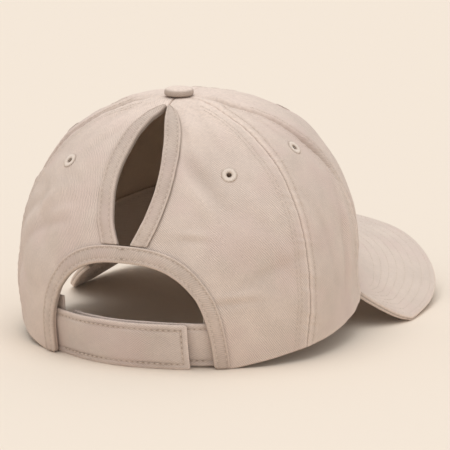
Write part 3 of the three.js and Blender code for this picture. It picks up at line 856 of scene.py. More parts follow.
def turn_at_x(x, share_up):
    turn = 0 * x
    for _ in range(SOLVE_STEPS):
        turn = np.arcsin(np.clip(x / (sizes().half_width * spread_at(turn, share_up)), -1, 1))
    return turn


# Visor and rim


def visor_height(x, y):
    s = sizes()
    edge = s.visor_thickness / math.hypot(1, s.visor_crest * s.visor_arch_power / s.visor_half_width)
    forward = (-y - s.visor_widest) / (s.visor_reach - s.visor_widest)
    crest = s.visor_crest - edge - s.visor_droop * forward
    return edge + crest * (1 - np.minimum(np.abs(x) / s.visor_half_width, 1) ** s.visor_arch_power)


def visor_up(x, y):
    step = sizes().gap
    dx = (visor_height(x + step, y) - visor_height(x - step, y)) / (2 * step)
    dy = (visor_height(x, y + step) - visor_height(x, y - step)) / (2 * step)
    return unit(np.stack([-dx, -dy, 1 + 0 * dx], -1))


def visor_root(turn):
    s = sizes()
    point = crown_point(turn, s.bulge_share + 0 * turn, -s.cloth, sewn=False)
    for _ in range(SOLVE_STEPS):
        share_up = share_at_height(turn, visor_height(point[..., 0], point[..., 1]) + s.gap)
        point = crown_point(turn, share_up, -s.cloth, sewn=False)
    point[..., 2] = visor_height(point[..., 0], point[..., 1])
    return point


def quarter_curve(part, power):
    rise = part ** (power / 2)
    turned = QUARTER * rise / (rise + (1 - part) ** (power / 2))
    return np.sin(turned) ** (2 / power), np.maximum(np.cos(turned), 0) ** (2 / power)


def visor_outline(side):
    """The outline in plan, from one rear corner at side -1 to the other at side 1."""
    s = sizes()
    corner = visor_root(np.array([math.pi - s.visor_turn]))[0]
    part = np.abs(side)
    across, ahead = quarter_curve(np.minimum(part / s.visor_tip_stretch, 1), s.visor_outline_power)
    rest = np.clip((part - s.visor_tip_stretch) / (1 - s.visor_tip_stretch), 0, 1)
    back, inwards = quarter_curve(rest, s.visor_corner_power)
    front_part = part < s.visor_tip_stretch
    x = np.where(front_part, s.visor_half_width * across, mixed(corner[0], s.visor_half_width, inwards))
    y_front = -s.visor_widest - (s.visor_reach - s.visor_widest) * ahead
    y_back = -s.visor_widest + (corner[1] + s.visor_widest) * back
    return np.stack([x * np.sign(side), np.where(front_part, y_front, y_back), 0 * x], -1)


def rim_height(turn):
    s = sizes()
    corner_turn = 180 - math.degrees(s.visor_turn)
    corner = visor_root(np.array([math.pi - s.visor_turn]))[0]
    lift = from_table(RIM_RISE, "to_corner", from_back(turn) / corner_turn, "lift") * (corner[2] + s.gap)
    return np.where(from_back(turn) >= corner_turn, visor_root(turn)[..., 2] + s.gap, lift)


def rim_share(turn):
    return share_at_height(turn, rim_height(turn))


def top_share(turn):
    """Where the cloth ends under the button."""
    s = sizes()
    across = s.half_width * np.sin(turn)
    ahead = crown_length(turn) * np.cos(turn) - s.top_setback
    spread = TOP_HOLE / np.hypot(across, ahead)
    return s.bulge_share + (1 - s.bulge_share) * np.arccos(spread ** (1 / bend_power(turn))) / QUARTER


# Back openings


def opening_shares():
    """Shares of the arch's top, its tape's top, and the teardrop's bottom and point."""
    s = sizes()
    zero = np.zeros(1)
    heights = [s.arch_height, s.arch_height + s.tape_width, s.arch_height + s.tape_width + s.gap]
    arch, tape, bottom = (float(share_at_height(zero, np.array([h]))[0]) for h in heights)
    top, left = bottom, s.teardrop_length
    while left > 0 and top < 1 - STEP:
        step = plain_point(zero, np.array([top + STEP])) - plain_point(zero, np.array([top]))
        left -= float(np.linalg.norm(step))
        top += STEP
    return arch, tape, bottom, top


def arch_edge(turned, q):
    s = sizes()
    arch, tape, _, _ = opening_shares()
    power = 2 / s.arch_power
    half = s.arch_half_width + s.tape_width * s.tape_narrowing * q
    x = half * np.sign(np.cos(turned)) * np.abs(np.cos(turned)) ** power
    return x, mixed(arch, tape, q) * np.maximum(np.sin(turned), 0) ** power


def teardrop_edge(along, q):
    s = sizes()
    _, _, bottom, top = opening_shares()
    opened = s.teardrop_half_width * from_table(TEARDROP, "along", along, "open") + s.gap / 2
    tape = s.tape_width * from_table(TEARDROP, "along", along, "tape")
    return opened + tape * q, mixed(bottom, top, along)


# Meshes


def finished(bm, name, smooth=False):
    """Turns a work mesh into a mesh of this name."""
    if smooth:
        for face in bm.faces:
            face.smooth = True
    mesh = bpy.data.meshes.new(name)
    bm.to_mesh(mesh)
    bm.free()
    return mesh


def spin_round(bm, profile, steps):
    """Turns a profile once round the upright axis."""
    bmesh.ops.spin(
        bm, geom=profile, cent=(0, 0, 0), axis=(0, 0, 1), angle=FULL_TURN, steps=steps, use_merge=True
    )


def grid_mesh(name, columns, rows, place, welded=False):
    """A grid shaped by place(u, v), which gives points, a weave map in metres and marks by name."""
    bm = bmesh.new()
    bmesh.ops.create_grid(bm, x_segments=columns, y_segments=rows, size=0.5)
    mesh = bpy.data.meshes.new(name)
    bm.to_mesh(mesh)
    flat = np.empty(len(mesh.vertices) * 3, np.float32)
    mesh.vertices.foreach_get("co", flat)
    u, v = (flat.reshape(-1, 3)[:, :2].astype(float) + 0.5).T
    points, weave, marks = place(u, v)
    points = points + frame_shift()
    mesh.vertices.foreach_set("co", points.astype(np.float32).ravel())
    corners = np.empty(len(mesh.loops), np.int32)
    mesh.loops.foreach_get("vertex_index", corners)
    layer = mesh.uv_layers.new(name="weave")
    layer.data.foreach_set("uv", weave[corners].astype(np.float32).ravel())
    for mark, values in marks.items():
        attribute = mesh.attributes.new(mark, "FLOAT", "POINT")
        attribute.data.foreach_set("value", np.broadcast_to(values, u.shape).astype(np.float32))
    bm.clear()
    bm.from_mesh(mesh)
    if welded:
        bmesh.ops.remove_doubles(bm, verts=bm.verts, dist=WELD)
        bmesh.ops.recalc_face_normals(bm, faces=bm.faces)
    else:
        middle = Vector((0, crown_centre_y(), HOLLOW_MIDDLE))
        facing = sum(f.normal.dot(f.calc_center_median() - middle) * f.calc_area() for f in bm.faces)
        if facing < 0:
            bmesh.ops.reverse_faces(bm, faces=bm.faces)
    for face in bm.faces:
        face.smooth = True
    bm.to_mesh(mesh)
    bm.free()
    return mesh


def add_piece(name, mesh, slot, *materials):
    piece = bpy.data.objects.new(name, mesh)
    bpy.context.scene.collection.objects.link(piece)
    for material in materials:
        mesh.materials.append(material)
    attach(piece, BODY)
    return piece


def thicken(piece, thickness, edge=0.0, inside=0):
    """Gives a sheet its thickness inwards, and rounds its edges."""
    solid = piece.modifiers.new("cloth", "SOLIDIFY")
    solid.thickness = thickness
    solid.offset = -1
    solid.use_even_offset = False
    solid.material_offset = inside
    if edge:
        bevel = piece.modifiers.new("edge", "BEVEL")
        bevel.width = edge
        bevel.segments = EDGE_STEPS
        bevel.limit_method = "ANGLE"
        bevel.angle_limit = SHARP_EDGE
        bevel.harden_normals = False
    return piece


def soften(piece):
    """Rounds a closed piece by one level of subdivision."""
    smooth = piece.modifiers.new("soften", "SUBSURF")
    smooth.levels = 1
    smooth.render_levels = 1


def flat_facts(mesh):
    """Width, length and area of the flat cut, from the weave map."""
    layer = mesh.uv_layers["weave"].data
    flat = np.empty(len(layer) * 2, np.float32)
    layer.foreach_get("uv", flat)
    flat = flat.reshape(-1, 2).astype(float)
    wide, long = flat.max(0) - flat.min(0)
    area = 0.0
    for face in mesh.polygons:
        ring = flat[face.loop_start : face.loop_start + face.loop_total]
        after = np.roll(ring, -1, 0)
        area += abs(float((ring[:, 0] * after[:, 1] - ring[:, 1] * after[:, 0]).sum())) / 2
    return (float(wide), float(long)), min(area, float(wide * long))


def declare_sheet(piece):
    flat, area = flat_facts(piece.data)
    return piece


# Stitches


def stitch_mesh(long, wide, high, bend, name):
    """One thread crossing: a small bent lozenge along X whose ends go down into the cloth."""
    bm = bmesh.new()
    bmesh.ops.create_uvsphere(bm, u_segments=THREAD_SIDES, v_segments=THREAD_STEPS, radius=0.5)
    bmesh.ops.rotate(bm, verts=bm.verts, matrix=Matrix.Rotation(QUARTER, 3, "Y"))
    bmesh.ops.scale(bm, verts=bm.verts, vec=(long, wide, high))
    # The "end" mark darkens the thread's ends with painted shade where they dip into the cloth.
    end = bm.verts.layers.float.new("end")
    for vert in bm.verts:
        part = abs(vert.co.x) / (long / 2)
        vert[end] = part**3
        vert.co.z -= bend * part**2
    return finished(bm, name, smooth=True)


def needle_hole(radius):
    """A dark dot where a thread goes down into the cloth: painted shade that stands in for the needle hole's
    pit.
    """
    bm = bmesh.new()
    bmesh.ops.create_icosphere(bm, subdivisions=1, radius=radius)
    end = bm.verts.layers.float.new("end")
    for vert in bm.verts:
        vert[end] = 1.0
    return finished(bm, "hole")


def place_copy(bm, mesh, matrix):
    mesh.transform(matrix)
    bm.from_mesh(mesh)
    mesh.transform(matrix.inverted())


def sew_path(bm, stitch, hole, sunk, points, normals, chance):
    """Sets stitches along a path of points with their normals."""
    sewing = thread_sizes()
    pitch = sewing.stitch + sewing.space
    gone = run_along(points)
    count = int((gone[-1] - sewing.space) / pitch)

    def at(distance, values):
        return Vector([float(np.interp(distance, gone, values[:, k])) for k in range(3)])

    for i in range(count):
        middle = (i + 0.5) * gone[-1] / count
        ahead = at(middle + sewing.stitch / 3, points)
        along = (ahead - at(middle - sewing.stitch / 3, points)).normalized()
        up = at(middle, normals).normalized()
        side = up.cross(along).normalized()
        side = (side + along * chance.uniform(-STITCH_SLANT, STITCH_SLANT)).normalized()
        along = side.cross(up).normalized()
        up = along.cross(side)
        turned = Matrix((along, side, up)).transposed().to_4x4()
        seat = sewing.rise * THREAD_SEAT + chance.uniform(-STITCH_UNEVEN, STITCH_UNEVEN) * MM
        place_copy(bm, stitch, Matrix.Translation(at(middle, points) + up * seat) @ turned)
        gap = at(middle + pitch / 2, points) - at(middle + pitch / 2, normals).normalized() * sunk
        place_copy(bm, hole, Matrix.Translation(gap))


def path_normals(surface, first, second, out=0.0):
    """Points along a path and their outward normals, from surface(first, second, out)."""
    points = surface(first, second, out)
    raised = surface(first, second, out + MM)
    return points + frame_shift(), unit(raised - points)


def thread_piece(name, paths, hole_radius=None, material=None):
    """A joined mesh of all the stitches on these paths."""
    sewing = thread_sizes()
    hole_radius = hole_radius or sewing.hole
    chance = random.Random(sewing.seed)
    high, bend = sewing.thread * THREAD_HIGH, sewing.thread * THREAD_BEND
    stitch = stitch_mesh(sewing.stitch, sewing.thread, high, bend, "stitch")
    hole = needle_hole(hole_radius)
    bm = bmesh.new()
    bm.verts.layers.float.new("end")
    for points, normals in paths:
        sew_path(bm, stitch, hole, hole_radius * HOLE_SUNK, points, normals, chance)
    mesh = finished(bm, name)
    bpy.data.meshes.remove(stitch)
    bpy.data.meshes.remove(hole)
    material = material or thread_material("sewing_thread", cap_colours().thread)
    return add_piece(name, mesh, "eyelet_thread", material)


# Shader node groups and materials


def new_group(name, inputs, outputs):
    """An empty shader group with its sockets, and its input and output nodes."""
    group = bpy.data.node_groups.new(name, "ShaderNodeTree")
    for title, kind, value in inputs:
        socket = group.interface.new_socket(name=title, in_out="INPUT", socket_type=kind)
        if value is not None:
            socket.default_value = value
    for title in outputs:
        kind = "NodeSocketColor" if title == "Colour" else "NodeSocketFloat"
        group.interface.new_socket(name=title, in_out="OUTPUT", socket_type=kind)
    return group, group.nodes.new("NodeGroupInput"), group.nodes.new("NodeGroupOutput")


def group_node(tree, name, build):
    """A node of a shader group that is built once."""
    node = tree.nodes.new("ShaderNodeGroup")
    node.node_tree = bpy.data.node_groups.get(name) or build(name)
    return node


def math_node(tree, operation, first, second=None):
    node = tree.nodes.new("ShaderNodeMath")
    node.operation = operation
    for index, value in enumerate((first, second)):
        if isinstance(value, (int, float)):
            node.inputs[index].default_value = value
        elif value is not None:
            tree.links.new(value, node.inputs[index])
    return node.outputs[0]


def times(tree, first, second):
    return math_node(tree, "MULTIPLY", first, second)


def plus(tree, first, *others):
    for other in others:
        first = math_node(tree, "ADD", first, other)
    return first


def sine(tree, turns, rate):
    """A wave that goes through this many rounds for each of these turns."""
    return math_node(tree, "SINE", times(tree, turns, rate * FULL_TURN))


def remap(tree, value, low, high, to_low, to_high):
    node = tree.nodes.new("ShaderNodeMapRange")
    for index, number in enumerate((low, high, to_low, to_high)):
        node.inputs[index + 1].default_value = number
    tree.links.new(value, node.inputs[0])
    return node.outputs[0]


def noise_node(tree, vector, scale, detail=2.0, roughness=0.5):
    node = tree.nodes.new("ShaderNodeTexNoise")
    tree.links.new(vector, node.inputs["Vector"])
    set_inputs(node, {"Scale": scale, "Detail": detail, "Roughness": roughness})
    return node.outputs["Fac"]


def set_inputs(node, values):
    for title, value in values.items():
        node.inputs[title].default_value = value


def link_inputs(tree, node, sockets):
    for title, socket in sockets.items():
        tree.links.new(socket, node.inputs[title])


def attribute_node(tree, name):
    node = tree.nodes.new("ShaderNodeAttribute")
    node.attribute_name = name
    return node.outputs["Fac"]


def bump_node(tree, height, strength, depth, normal=None):
    """Relief of this depth in millimetres, on top of another one."""
    node = tree.nodes.new("ShaderNodeBump")
    set_inputs(node, {"Strength": strength, "Distance": depth * MM})
    tree.links.new(height, node.inputs["Height"])
    if normal:
        tree.links.new(normal, node.inputs["Normal"])
    return node.outputs[0]


def mix_colour(tree, factor, first, second):
    node = tree.nodes.new("ShaderNodeMix")
    node.data_type = "RGBA"
    for socket, value in ((node.inputs[0], factor), (node.inputs[6], first), (node.inputs[7], second)):
        if isinstance(value, (int, float, tuple)):
            socket.default_value = value
        else:
            tree.links.new(value, socket)
    return node.outputs[2]


def toned(value, factor, pink=0.0):
    """A colour made lighter or darker, and a little pinker."""
    red, green, blue = value
    return (red * factor * (1 + pink), green * factor * (1 - pink), blue * factor, 1.0)


def twill_group(name):
    """Diagonal twill ribs crossed by yarns: height, and how deep between the ribs."""
    inputs = [("Weave", "NodeSocketVector", None), ("Pitch", "NodeSocketFloat", 0.001)]
    group, given, made = new_group(name, inputs, ["Height", "Valley"])
    weave, pitch = given.outputs["Weave"], given.outputs["Pitch"]
    parts = group.nodes.new("ShaderNodeSeparateXYZ")
    group.links.new(weave, parts.inputs[0])
    across = times(group, parts.outputs[0], TWILL["across"])
    along = times(group, parts.outputs[1], TWILL["along"])
    wander = times(group, noise_node(group, weave, 240, 3), TWILL["wander"])
    slanted = plus(group, across, along, wander)
    ribs = sine(group, math_node(group, "DIVIDE", slanted, pitch), 1)
    patches = remap(group, noise_node(group, weave, 45, 2), 0.35, 0.62, 0.35, 1.2)
    ribs = times(group, times(group, ribs, patches), TWILL["rib_height"])
    yarns = sine(group, math_node(group, "DIVIDE", parts.outputs[1], pitch), TWILL["yarn_rate"])
    yarns = times(group, yarns, TWILL["yarn_height"])
    fibres = times(group, noise_node(group, weave, 1500, 2), TWILL["fibre_height"])
    height = plus(group, ribs, yarns, fibres, TWILL["middle"])
    valley = remap(group, height, 0.1, 0.75, 1, 0)
    link_inputs(group, made, {"Height": height, "Valley": valley})
    return group


def mottle_group(name):
    """Uneven washed colour: a tone that lightens and darkens, and a patch for a warmer hue."""
    inputs = [("Place", "NodeSocketVector", None)]
    group, given, made = new_group(name, inputs, ["Tone", "Warm", "Speck"])
    place = given.outputs["Place"]
    broad = times(group, noise_node(group, place, 22, 3, 0.55), 0.4)
    middle = times(group, noise_node(group, place, 95, 3, 0.6), 0.35)
    fine = noise_node(group, place, 620, 2, 0.6)
    tone = remap(group, plus(group, broad, middle, times(group, fine, 0.25)), 0.38, 0.62, 0, 1)
    warm = remap(group, noise_node(group, place, 38, 2), 0.46, 0.64, 0, 1)
    speck = remap(group, fine, 0.35, 0.7, 0, 1)
    link_inputs(group, made, {"Tone": tone, "Warm": warm, "Speck": speck})
    return group


def wear_light_shade_group(name):
    """Colour after wear and painted light: paler on worn edges and painted highlights, darker with painted
    shade in crevices.
    """
    inputs = [
        ("Colour", "NodeSocketColor", None),
        ("Worn and lit", "NodeSocketColor", (1, 1, 1, 1)),
        ("Deep", "NodeSocketColor", (0, 0, 0, 1)),
        ("Wear", "NodeSocketFloat", 0.0),
        ("Crevice", "NodeSocketFloat", 0.0),
        ("Speck", "NodeSocketFloat", 0.5),
    ]
    group, given, made = new_group(name, inputs, ["Colour"])
    patchy = times(group, given.outputs["Wear"], remap(group, given.outputs["Speck"], 0, 1, 0.45, 1))
    worn_and_lit = mix_colour(group, patchy, given.outputs["Colour"], given.outputs["Worn and lit"])
    deep = mix_colour(group, given.outputs["Crevice"], worn_and_lit, given.outputs["Deep"])
    group.links.new(deep, made.inputs["Colour"])
    return group


def new_material(name, looks):
    """An empty material with the looks of its shader."""
    material = bpy.data.materials.new(name)
    material.use_nodes = True
    shader = material.node_tree.nodes["Principled BSDF"]
    set_inputs(shader, looks)
    return material, material.node_tree, shader


def cloth_material(name):
    """Washed cotton twill: mottled colour, twill ribs with painted shade between them, paler worn edges and
    painted highlights, and painted shade in crevices.
    """
    if name in bpy.data.materials:
        return bpy.data.materials[name]
    row = next(row for row in CLOTHS if row["name"] == name)
    base = getattr(cap_colours(), row["colour"])
    material, tree, shader = new_material(name, CLOTH_LOOKS)
    weave = tree.nodes.new("ShaderNodeUVMap")
    weave.uv_map = "weave"
    turn = tree.nodes.new("ShaderNodeMapping")
    turn.inputs["Rotation"].default_value[2] = math.radians(row["turned"])
    tree.links.new(weave.outputs[0], turn.inputs["Vector"])
    twill = group_node(tree, "twill_weave", twill_group)
    twill.inputs["Pitch"].default_value = row["pitch"] * MM
    tree.links.new(turn.outputs[0], twill.inputs["Weave"])
    place = tree.nodes.new("ShaderNodeTexCoord").outputs["Object"]
    mottle = group_node(tree, "washed_mottle", mottle_group)
    tree.links.new(place, mottle.inputs["Place"])
    dark, light = toned(base, 1 - row["wave"]), toned(base, 1 + row["wave"])
    tone = mix_colour(tree, mottle.outputs["Tone"], dark, light)
    warm_part = times(tree, mottle.outputs["Warm"], 0.7)
    tone = mix_colour(tree, warm_part, tone, toned(base, 0.97, 0.028))
    # Painted shade between the twill's ribs.
    valley = times(tree, twill.outputs["Valley"], row["ribs"])
    tone = mix_colour(tree, valley, tone, toned(base, 0.62))
    worn_and_lit = group_node(tree, "wear_and_crevice", wear_light_shade_group)
    set_inputs(worn_and_lit, {"Worn and lit": toned(base, 1.16), "Deep": (*cap_colours().crevice, 1)})
    given = {"Colour": tone, "Speck": mottle.outputs["Speck"]}
    marks = {"Wear": attribute_node(tree, "wear"), "Crevice": attribute_node(tree, "crevice")}
    link_inputs(tree, worn_and_lit, given | marks)
    bump = bump_node(tree, twill.outputs["Height"], 0.6, 0.22)
    crumple = bump_node(tree, noise_node(tree, place, 190, 3, 0.6), 0.5, 0.5, bump)
    rough = remap(tree, mottle.outputs["Speck"], 0, 1, 0.82, 0.97)
    link_inputs(tree, shader, {"Base Color": worn_and_lit.outputs["Colour"], "Roughness": rough, "Normal": crumple})
    return material


def thread_material(name, base):
    """Twisted cotton thread, with painted shade where it goes down into the cloth."""
    if name in bpy.data.materials:
        return bpy.data.materials[name]
    material, tree, shader = new_material(name, THREAD_LOOKS)
    place = tree.nodes.new("ShaderNodeTexCoord").outputs["Object"]
    strands = noise_node(tree, place, 2200, 2)
    tone = mix_colour(tree, strands, toned(base, 0.86), toned(base, 1.08))
    # Painted shade at the thread's ends and in the needle holes.
    deep = times(tree, attribute_node(tree, "end"), 0.75)
    tone = mix_colour(tree, deep, tone, toned(cap_colours().crevice, 1.6))
    rough = remap(tree, strands, 0.3, 0.7, 0.55, 0.8)
    bump = bump_node(tree, strands, 0.5, 0.1)
    link_inputs(tree, shader, {"Base Color": tone, "Roughness": rough, "Normal": bump})
    return material


# Panels


def edge_easing(u):
    """Sets the columns closer together at the two seams."""
    return u - SEAM_CROWDING * np.sin(FULL_TURN * u)


def beside_tape(turn, share_up):
    """Where the cloth lies right beside the tapes' outer edges, up to 1: the painted shadow line there."""
    _, _, bottom, top = opening_shares()
    across = np.abs(sizes().half_width * np.sin(turn) * spread_at(turn, share_up))
    along = (share_up - bottom) / (top - bottom)
    edge, _ = teardrop_edge(np.clip(along, 0, 1), 1.0)
    beside = bell(across - edge - TAPE_LINE["offset"], TAPE_LINE["wide"])
    return beside * (along > 0) * (along < TAPE_LINE["end"]) * (from_back(turn) < 60)


def panel_marks(turn, share_up):
    """Worn ridges beside the seams, with painted shade in their grooves and other hollows and a painted
    highlight over the upper crown.
    """
    near_top = 1 - blend_in(share_up, *WEAR_END)
    creased = creases_at(turn, share_up) / MM
    wear, crevice = 0 * turn, 0 * turn
    # Worn ridges beside the seams and painted shade in their grooves; below, painted shade in the rows,
    # folds, creases and beside the tapes.
    for row in SEAM_FORMS:
        away = seam_distance(row["seam"], turn, share_up)
        wear = wear + TONES["seam_ridge"] * bell(np.abs(away) - 1.3 * MM, 0.8 * MM) * near_top
        crevice = crevice + TONES["seam_line"] * row["groove"] * bell(away, 0.3 * MM)
    crevice = crevice + TONES["row"] * stitched_rows(turn, share_up, 0.7 * MM)
    crevice = crevice + sum(row["tone"] * fold_beside_seam(row, turn, share_up) for row in SEAM_FOLDS)
    crevice = crevice + TONES["crease"] * np.maximum(creased, 0)
    crevice = crevice + TONES["tape_line"] * beside_tape(turn, share_up)
    wear = wear + TONES["crease_ridge"] * np.maximum(-creased, 0)
    wear = wear + TONES["rim"] * bell(share_up - rim_share(turn), 0.009)
    # Painted highlight: the upper crown is made paler, as the light from above falls on it.
    wear = wear + TONES["top"] * blend_in(share_up, *TOP_LIGHT)
    return {"wear": np.clip(wear, 0, 1), "crevice": np.clip(crevice, 0, DARKEST)}


def panel_weave(turn, share_up, middle):
    """The flat cut: across is measured from the panel's middle line, up along that line."""
    across = (np.abs(turn) - middle) * turn_length(turn, share_up)
    steps = np.linspace(0, 1, 200)
    run = run_along(plain_point(np.full_like(steps, middle), steps))
    return np.stack([across * np.sign(turn), np.interp(share_up, steps, run)], -1)


def seam_side(seam, v, towards):
    """The turn of a panel's edge at each level."""
    turn = seam_turn(seam, sizes().bulge_share + 0 * v)
    for _ in range(SOLVE_STEPS):
        turn = seam_turn(seam, mixed(rim_share(turn), top_share(turn), v))
    share_up = mixed(rim_share(turn), top_share(turn), v)
    return turn + towards * PANEL_GAP / turn_length(turn, share_up)


def even_edges(first, second):
    def edges(v):
        return v, seam_side(first, v, 1), seam_side(second, v, -1)

    return edges


def back_edges(v):
    """The inner edge follows the arch, then the teardrop, then the middle seam."""
    s = sizes()
    fine = 240
    arch_x, arch_share = arch_edge(np.linspace(0, QUARTER * ARCH_END, fine), s.cloth_edge)
    drop_x, drop_share = teardrop_edge(np.linspace(0, 1, fine), s.cloth_edge)
    x, share_up = np.concatenate([arch_x, drop_x]), np.concatenate([arch_share, drop_share])
    turn = turn_at_x(x, share_up)
    level = (share_up - rim_share(turn)) / (top_share(turn) - rim_share(turn))
    last = np.linspace(level[-1], 1, 12)[1:]
    level = np.concatenate([level, last])
    turn = np.concatenate([turn, PANEL_GAP / turn_length(0 * last, np.minimum(last, 0.97))])
    run = run_along(plain_point(turn, mixed(rim_share(turn), top_share(turn), level)))
    at = v * run[-1]
    levels = np.interp(at, run, level)
    return levels, np.interp(at, run, turn), seam_side("back_side", levels, -1)


PANELS = table(
    "name edges middle columns rows",
    ("back", back_edges, 40, 84, 190),
    ("side", even_edges("back_side", "side_front"), 88, 76, 170),
    ("front", even_edges("side_front", "front"), 145, 110, 170),
)


def panel(spec, word, side):
    """One sewn panel of the crown with its two seams, its rim and its top."""
    middle = math.radians(spec["middle"])

    def place(u, v):
        levels, near, far = spec["edges"](v)
        turn = mixed(near, far, edge_easing(u))
        share_up = mixed(rim_share(turn), top_share(turn), levels)
        points = crown_point(turn * side, share_up)
        return points, panel_weave(turn * side, share_up, middle), panel_marks(turn * side, share_up)

    name = f"cloth_{spec['name']}_{word}"
    mesh = grid_mesh(name, spec["columns"], spec["rows"], place)
    cloths = [cloth_material(cloth) for cloth in ("washed_crown_twill", "crown_twill_reverse")]
    piece = add_piece(name, mesh, "crown_cotton", *cloths)
    thicken(piece, sizes().cloth, inside=1)
    declare_sheet(piece)
    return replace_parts(piece, f"panel_{spec['name']}_{word}")


def cut_eyelet_hole(piece, centre, outward):
    """Opens the cloth inside the eyelet's bead."""
    bm = bmesh.new()
    bm.from_mesh(piece.data)
    radius = sizes().eyelet_hole + HOLE_MARGIN
    near = [f for f in bm.faces if (f.calc_center_median() - centre).length < radius]
    bmesh.ops.delete(bm, geom=near, context="FACES")
    ring = [v for v in bm.verts if v.is_boundary and (v.co - centre).length < radius + HOLE_RIM]
    for vert in ring:
        away = vert.co - centre
        flat = away - outward * away.dot(outward)
        vert.co = centre + outward * away.dot(outward) + flat.normalized() * radius
    bm.to_mesh(piece.data)
    bm.free()


def eyelet_place(spec, side):
    """The middle of an eyelet on the cloth, and its outward direction."""
    turn = np.array([math.radians(spec["turn"]) * side])
    share_up = mixed(rim_share(turn), 1.0, spec["along"])
    step = np.array([sizes().eyelet_radius / sizes().crown_height])
    up = crown_point(turn, share_up + step)[0] - crown_point(turn, share_up - step)[0]
    across = crown_point(turn + step, share_up)[0] - crown_point(turn - step, share_up)[0]
    centre = crown_point(turn, share_up)[0] + frame_shift()
    return Vector(centre), Vector(np.cross(up, across)).normalized()


def add_satin(bm, strand, middle, chance):
    """Radial strands round the hole, on both faces of the cloth."""
    s = sizes()
    count = thread_sizes().satin_strands

    def uneven(kind):
        return chance.uniform(-STRAND_UNEVEN[kind], STRAND_UNEVEN[kind])

    for tipped, depth in ((0, 0), (math.pi, s.cloth)):
        for i in range(count):
            turned = FULL_TURN * (i + uneven("turn")) / count
            out = s.eyelet_bead - STRAND["sunk"] * MM + uneven("out") * MM
            shift = middle + uneven("shift") * MM
            flip = Matrix.Rotation(tipped, 4, "X")
            spin = Matrix.Rotation(turned, 4, "Z")
            place_copy(bm, strand, flip @ spin @ Matrix.Translation((shift, 0, depth + out)))


def add_eyelet_core(bm, middle, half_width):
    """The padded ring under the strands, which goes through the cloth."""
    s = sizes()
    half_height = s.cloth / 2 + s.eyelet_bead - 0.3 * MM
    profile = []
    for k in range(CORE_SIDES):
        around = FULL_TURN * k / CORE_SIDES
        x = middle + half_width * math.cos(around)
        profile.append(bm.verts.new((x, 0, -s.cloth / 2 + half_height * math.sin(around))))
    loop = [bm.edges.new((profile[k], profile[(k + 1) % CORE_SIDES])) for k in range(CORE_SIDES)]
    spin_round(bm, [*profile, *loop], CORE_STEPS)


def eyelet(spec, word, side, cloth):
    """A satin-stitched eyelet: a bead round the hole wrapped by radial strands."""
    s = sizes()
    centre, outward = eyelet_place(spec, side)
    cut_eyelet_hole(cloth, centre, outward)
    chance = random.Random(thread_sizes().seed + spec["turn"] * side)
    width = s.eyelet_radius - s.eyelet_hole
    middle = (s.eyelet_radius + s.eyelet_hole) / 2
    strand = stitch_mesh(
        width * STRAND["long"], STRAND["wide"] * MM, STRAND["high"] * MM, STRAND["bend"] * MM, "strand"
    )
    bm = bmesh.new()
    bm.verts.layers.float.new("end")
    add_satin(bm, strand, middle, chance)
    add_eyelet_core(bm, middle, width / 2 * CORE_SHARE)
    lie = outward.to_track_quat("Z", "Y").to_matrix().to_4x4()
    bmesh.ops.transform(bm, matrix=Matrix.Translation(centre) @ lie, verts=bm.verts)
    name = f"satin_{spec['name']}_{word}"
    mesh = finished(bm, name, smooth=True)
    bpy.data.meshes.remove(strand)
    piece = add_piece(name, mesh, "eyelet_thread", thread_material("satin_thread", cap_colours().eyelet))
    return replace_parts(piece, f"eyelet_{spec['name']}_{word}")


# Tapes


def tape_loop(u):
    """Walks once round the tape's section: q and out at each u."""
    count = len(TAPE_SECTION)
    at = (u % 1) * count
    first = np.floor(at).astype(int) % count
    after = (first + 1) % count
    part = at - np.floor(at)
    q = np.array([row["q"] for row in TAPE_SECTION])
    out = np.array([row["out"] for row in TAPE_SECTION]) * MM
    return mixed(q[first], q[after], part), mixed(out[first], out[after], part)


def tape_marks(u, q, out):
    """Worn folds, and painted shade in the furrows of the two rows, under the tape and at its lip."""
    outside = u < 0.52
    wear = bell(q - 0.985, 0.05) + TAPE_TONES["inner_fold"] * bell(q - 0.03, 0.06)
    row = bell(q - OUTER_ROW, 0.05) + TAPE_TONES["inner_row"] * bell(q - INNER_ROW, 0.05)
    under = np.where((out < 0.75 * MM) & (q > 0.9) & outside, TAPE_TONES["under"], 0)
    lip = TAPE_TONES["lip"] * bell(out + 0.75 * MM, 0.3 * MM) * (q < 0.06)
    crevice = np.clip(TAPE_TONES["row"] * row * outside + under + lip, 0, DARKEST)
    return {"wear": np.where(outside, wear, TAPE_TONES["inside"]), "crevice": crevice}


def tape_piece(name, node, stations, route):
    """A folded tape along route(along, q), which gives x and share."""
    columns = len(TAPE_SECTION)

    def place(u, v):
        q, out = tape_loop(u)
        x, share_up = route(v, q)
        points = crown_point(turn_at_x(x, share_up), share_up, out)
        x, share_up = route(v, 0 * q)
        edge = crown_point(turn_at_x(x, share_up), share_up)
        run = np.zeros(len(u))
        order = np.lexsort((v, np.round(u * columns)))
        for column in order.reshape(columns + 1, stations + 1):
            run[column] = run_along(edge[column])
        width = np.where(u < 0.5, q, -q) * sizes().tape_width
        return points, np.stack([width, run], -1), tape_marks(u, q, out)

    mesh = grid_mesh(name, columns, stations, place, welded=True)
    close_ends(mesh)
    piece = add_piece(name, mesh, "binding_tape", cloth_material("folded_tape_cotton"))
    soften(piece)
    flat, _ = flat_facts(mesh)
    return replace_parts(piece, node)


def close_ends(mesh):
    bm = bmesh.new()
    bm.from_mesh(mesh)
    loose = [e for e in bm.edges if e.is_boundary]
    bmesh.ops.holes_fill(bm, edges=loose, sides=0)
    bmesh.ops.recalc_face_normals(bm, faces=bm.faces)
    bm.to_mesh(mesh)
    bm.free()


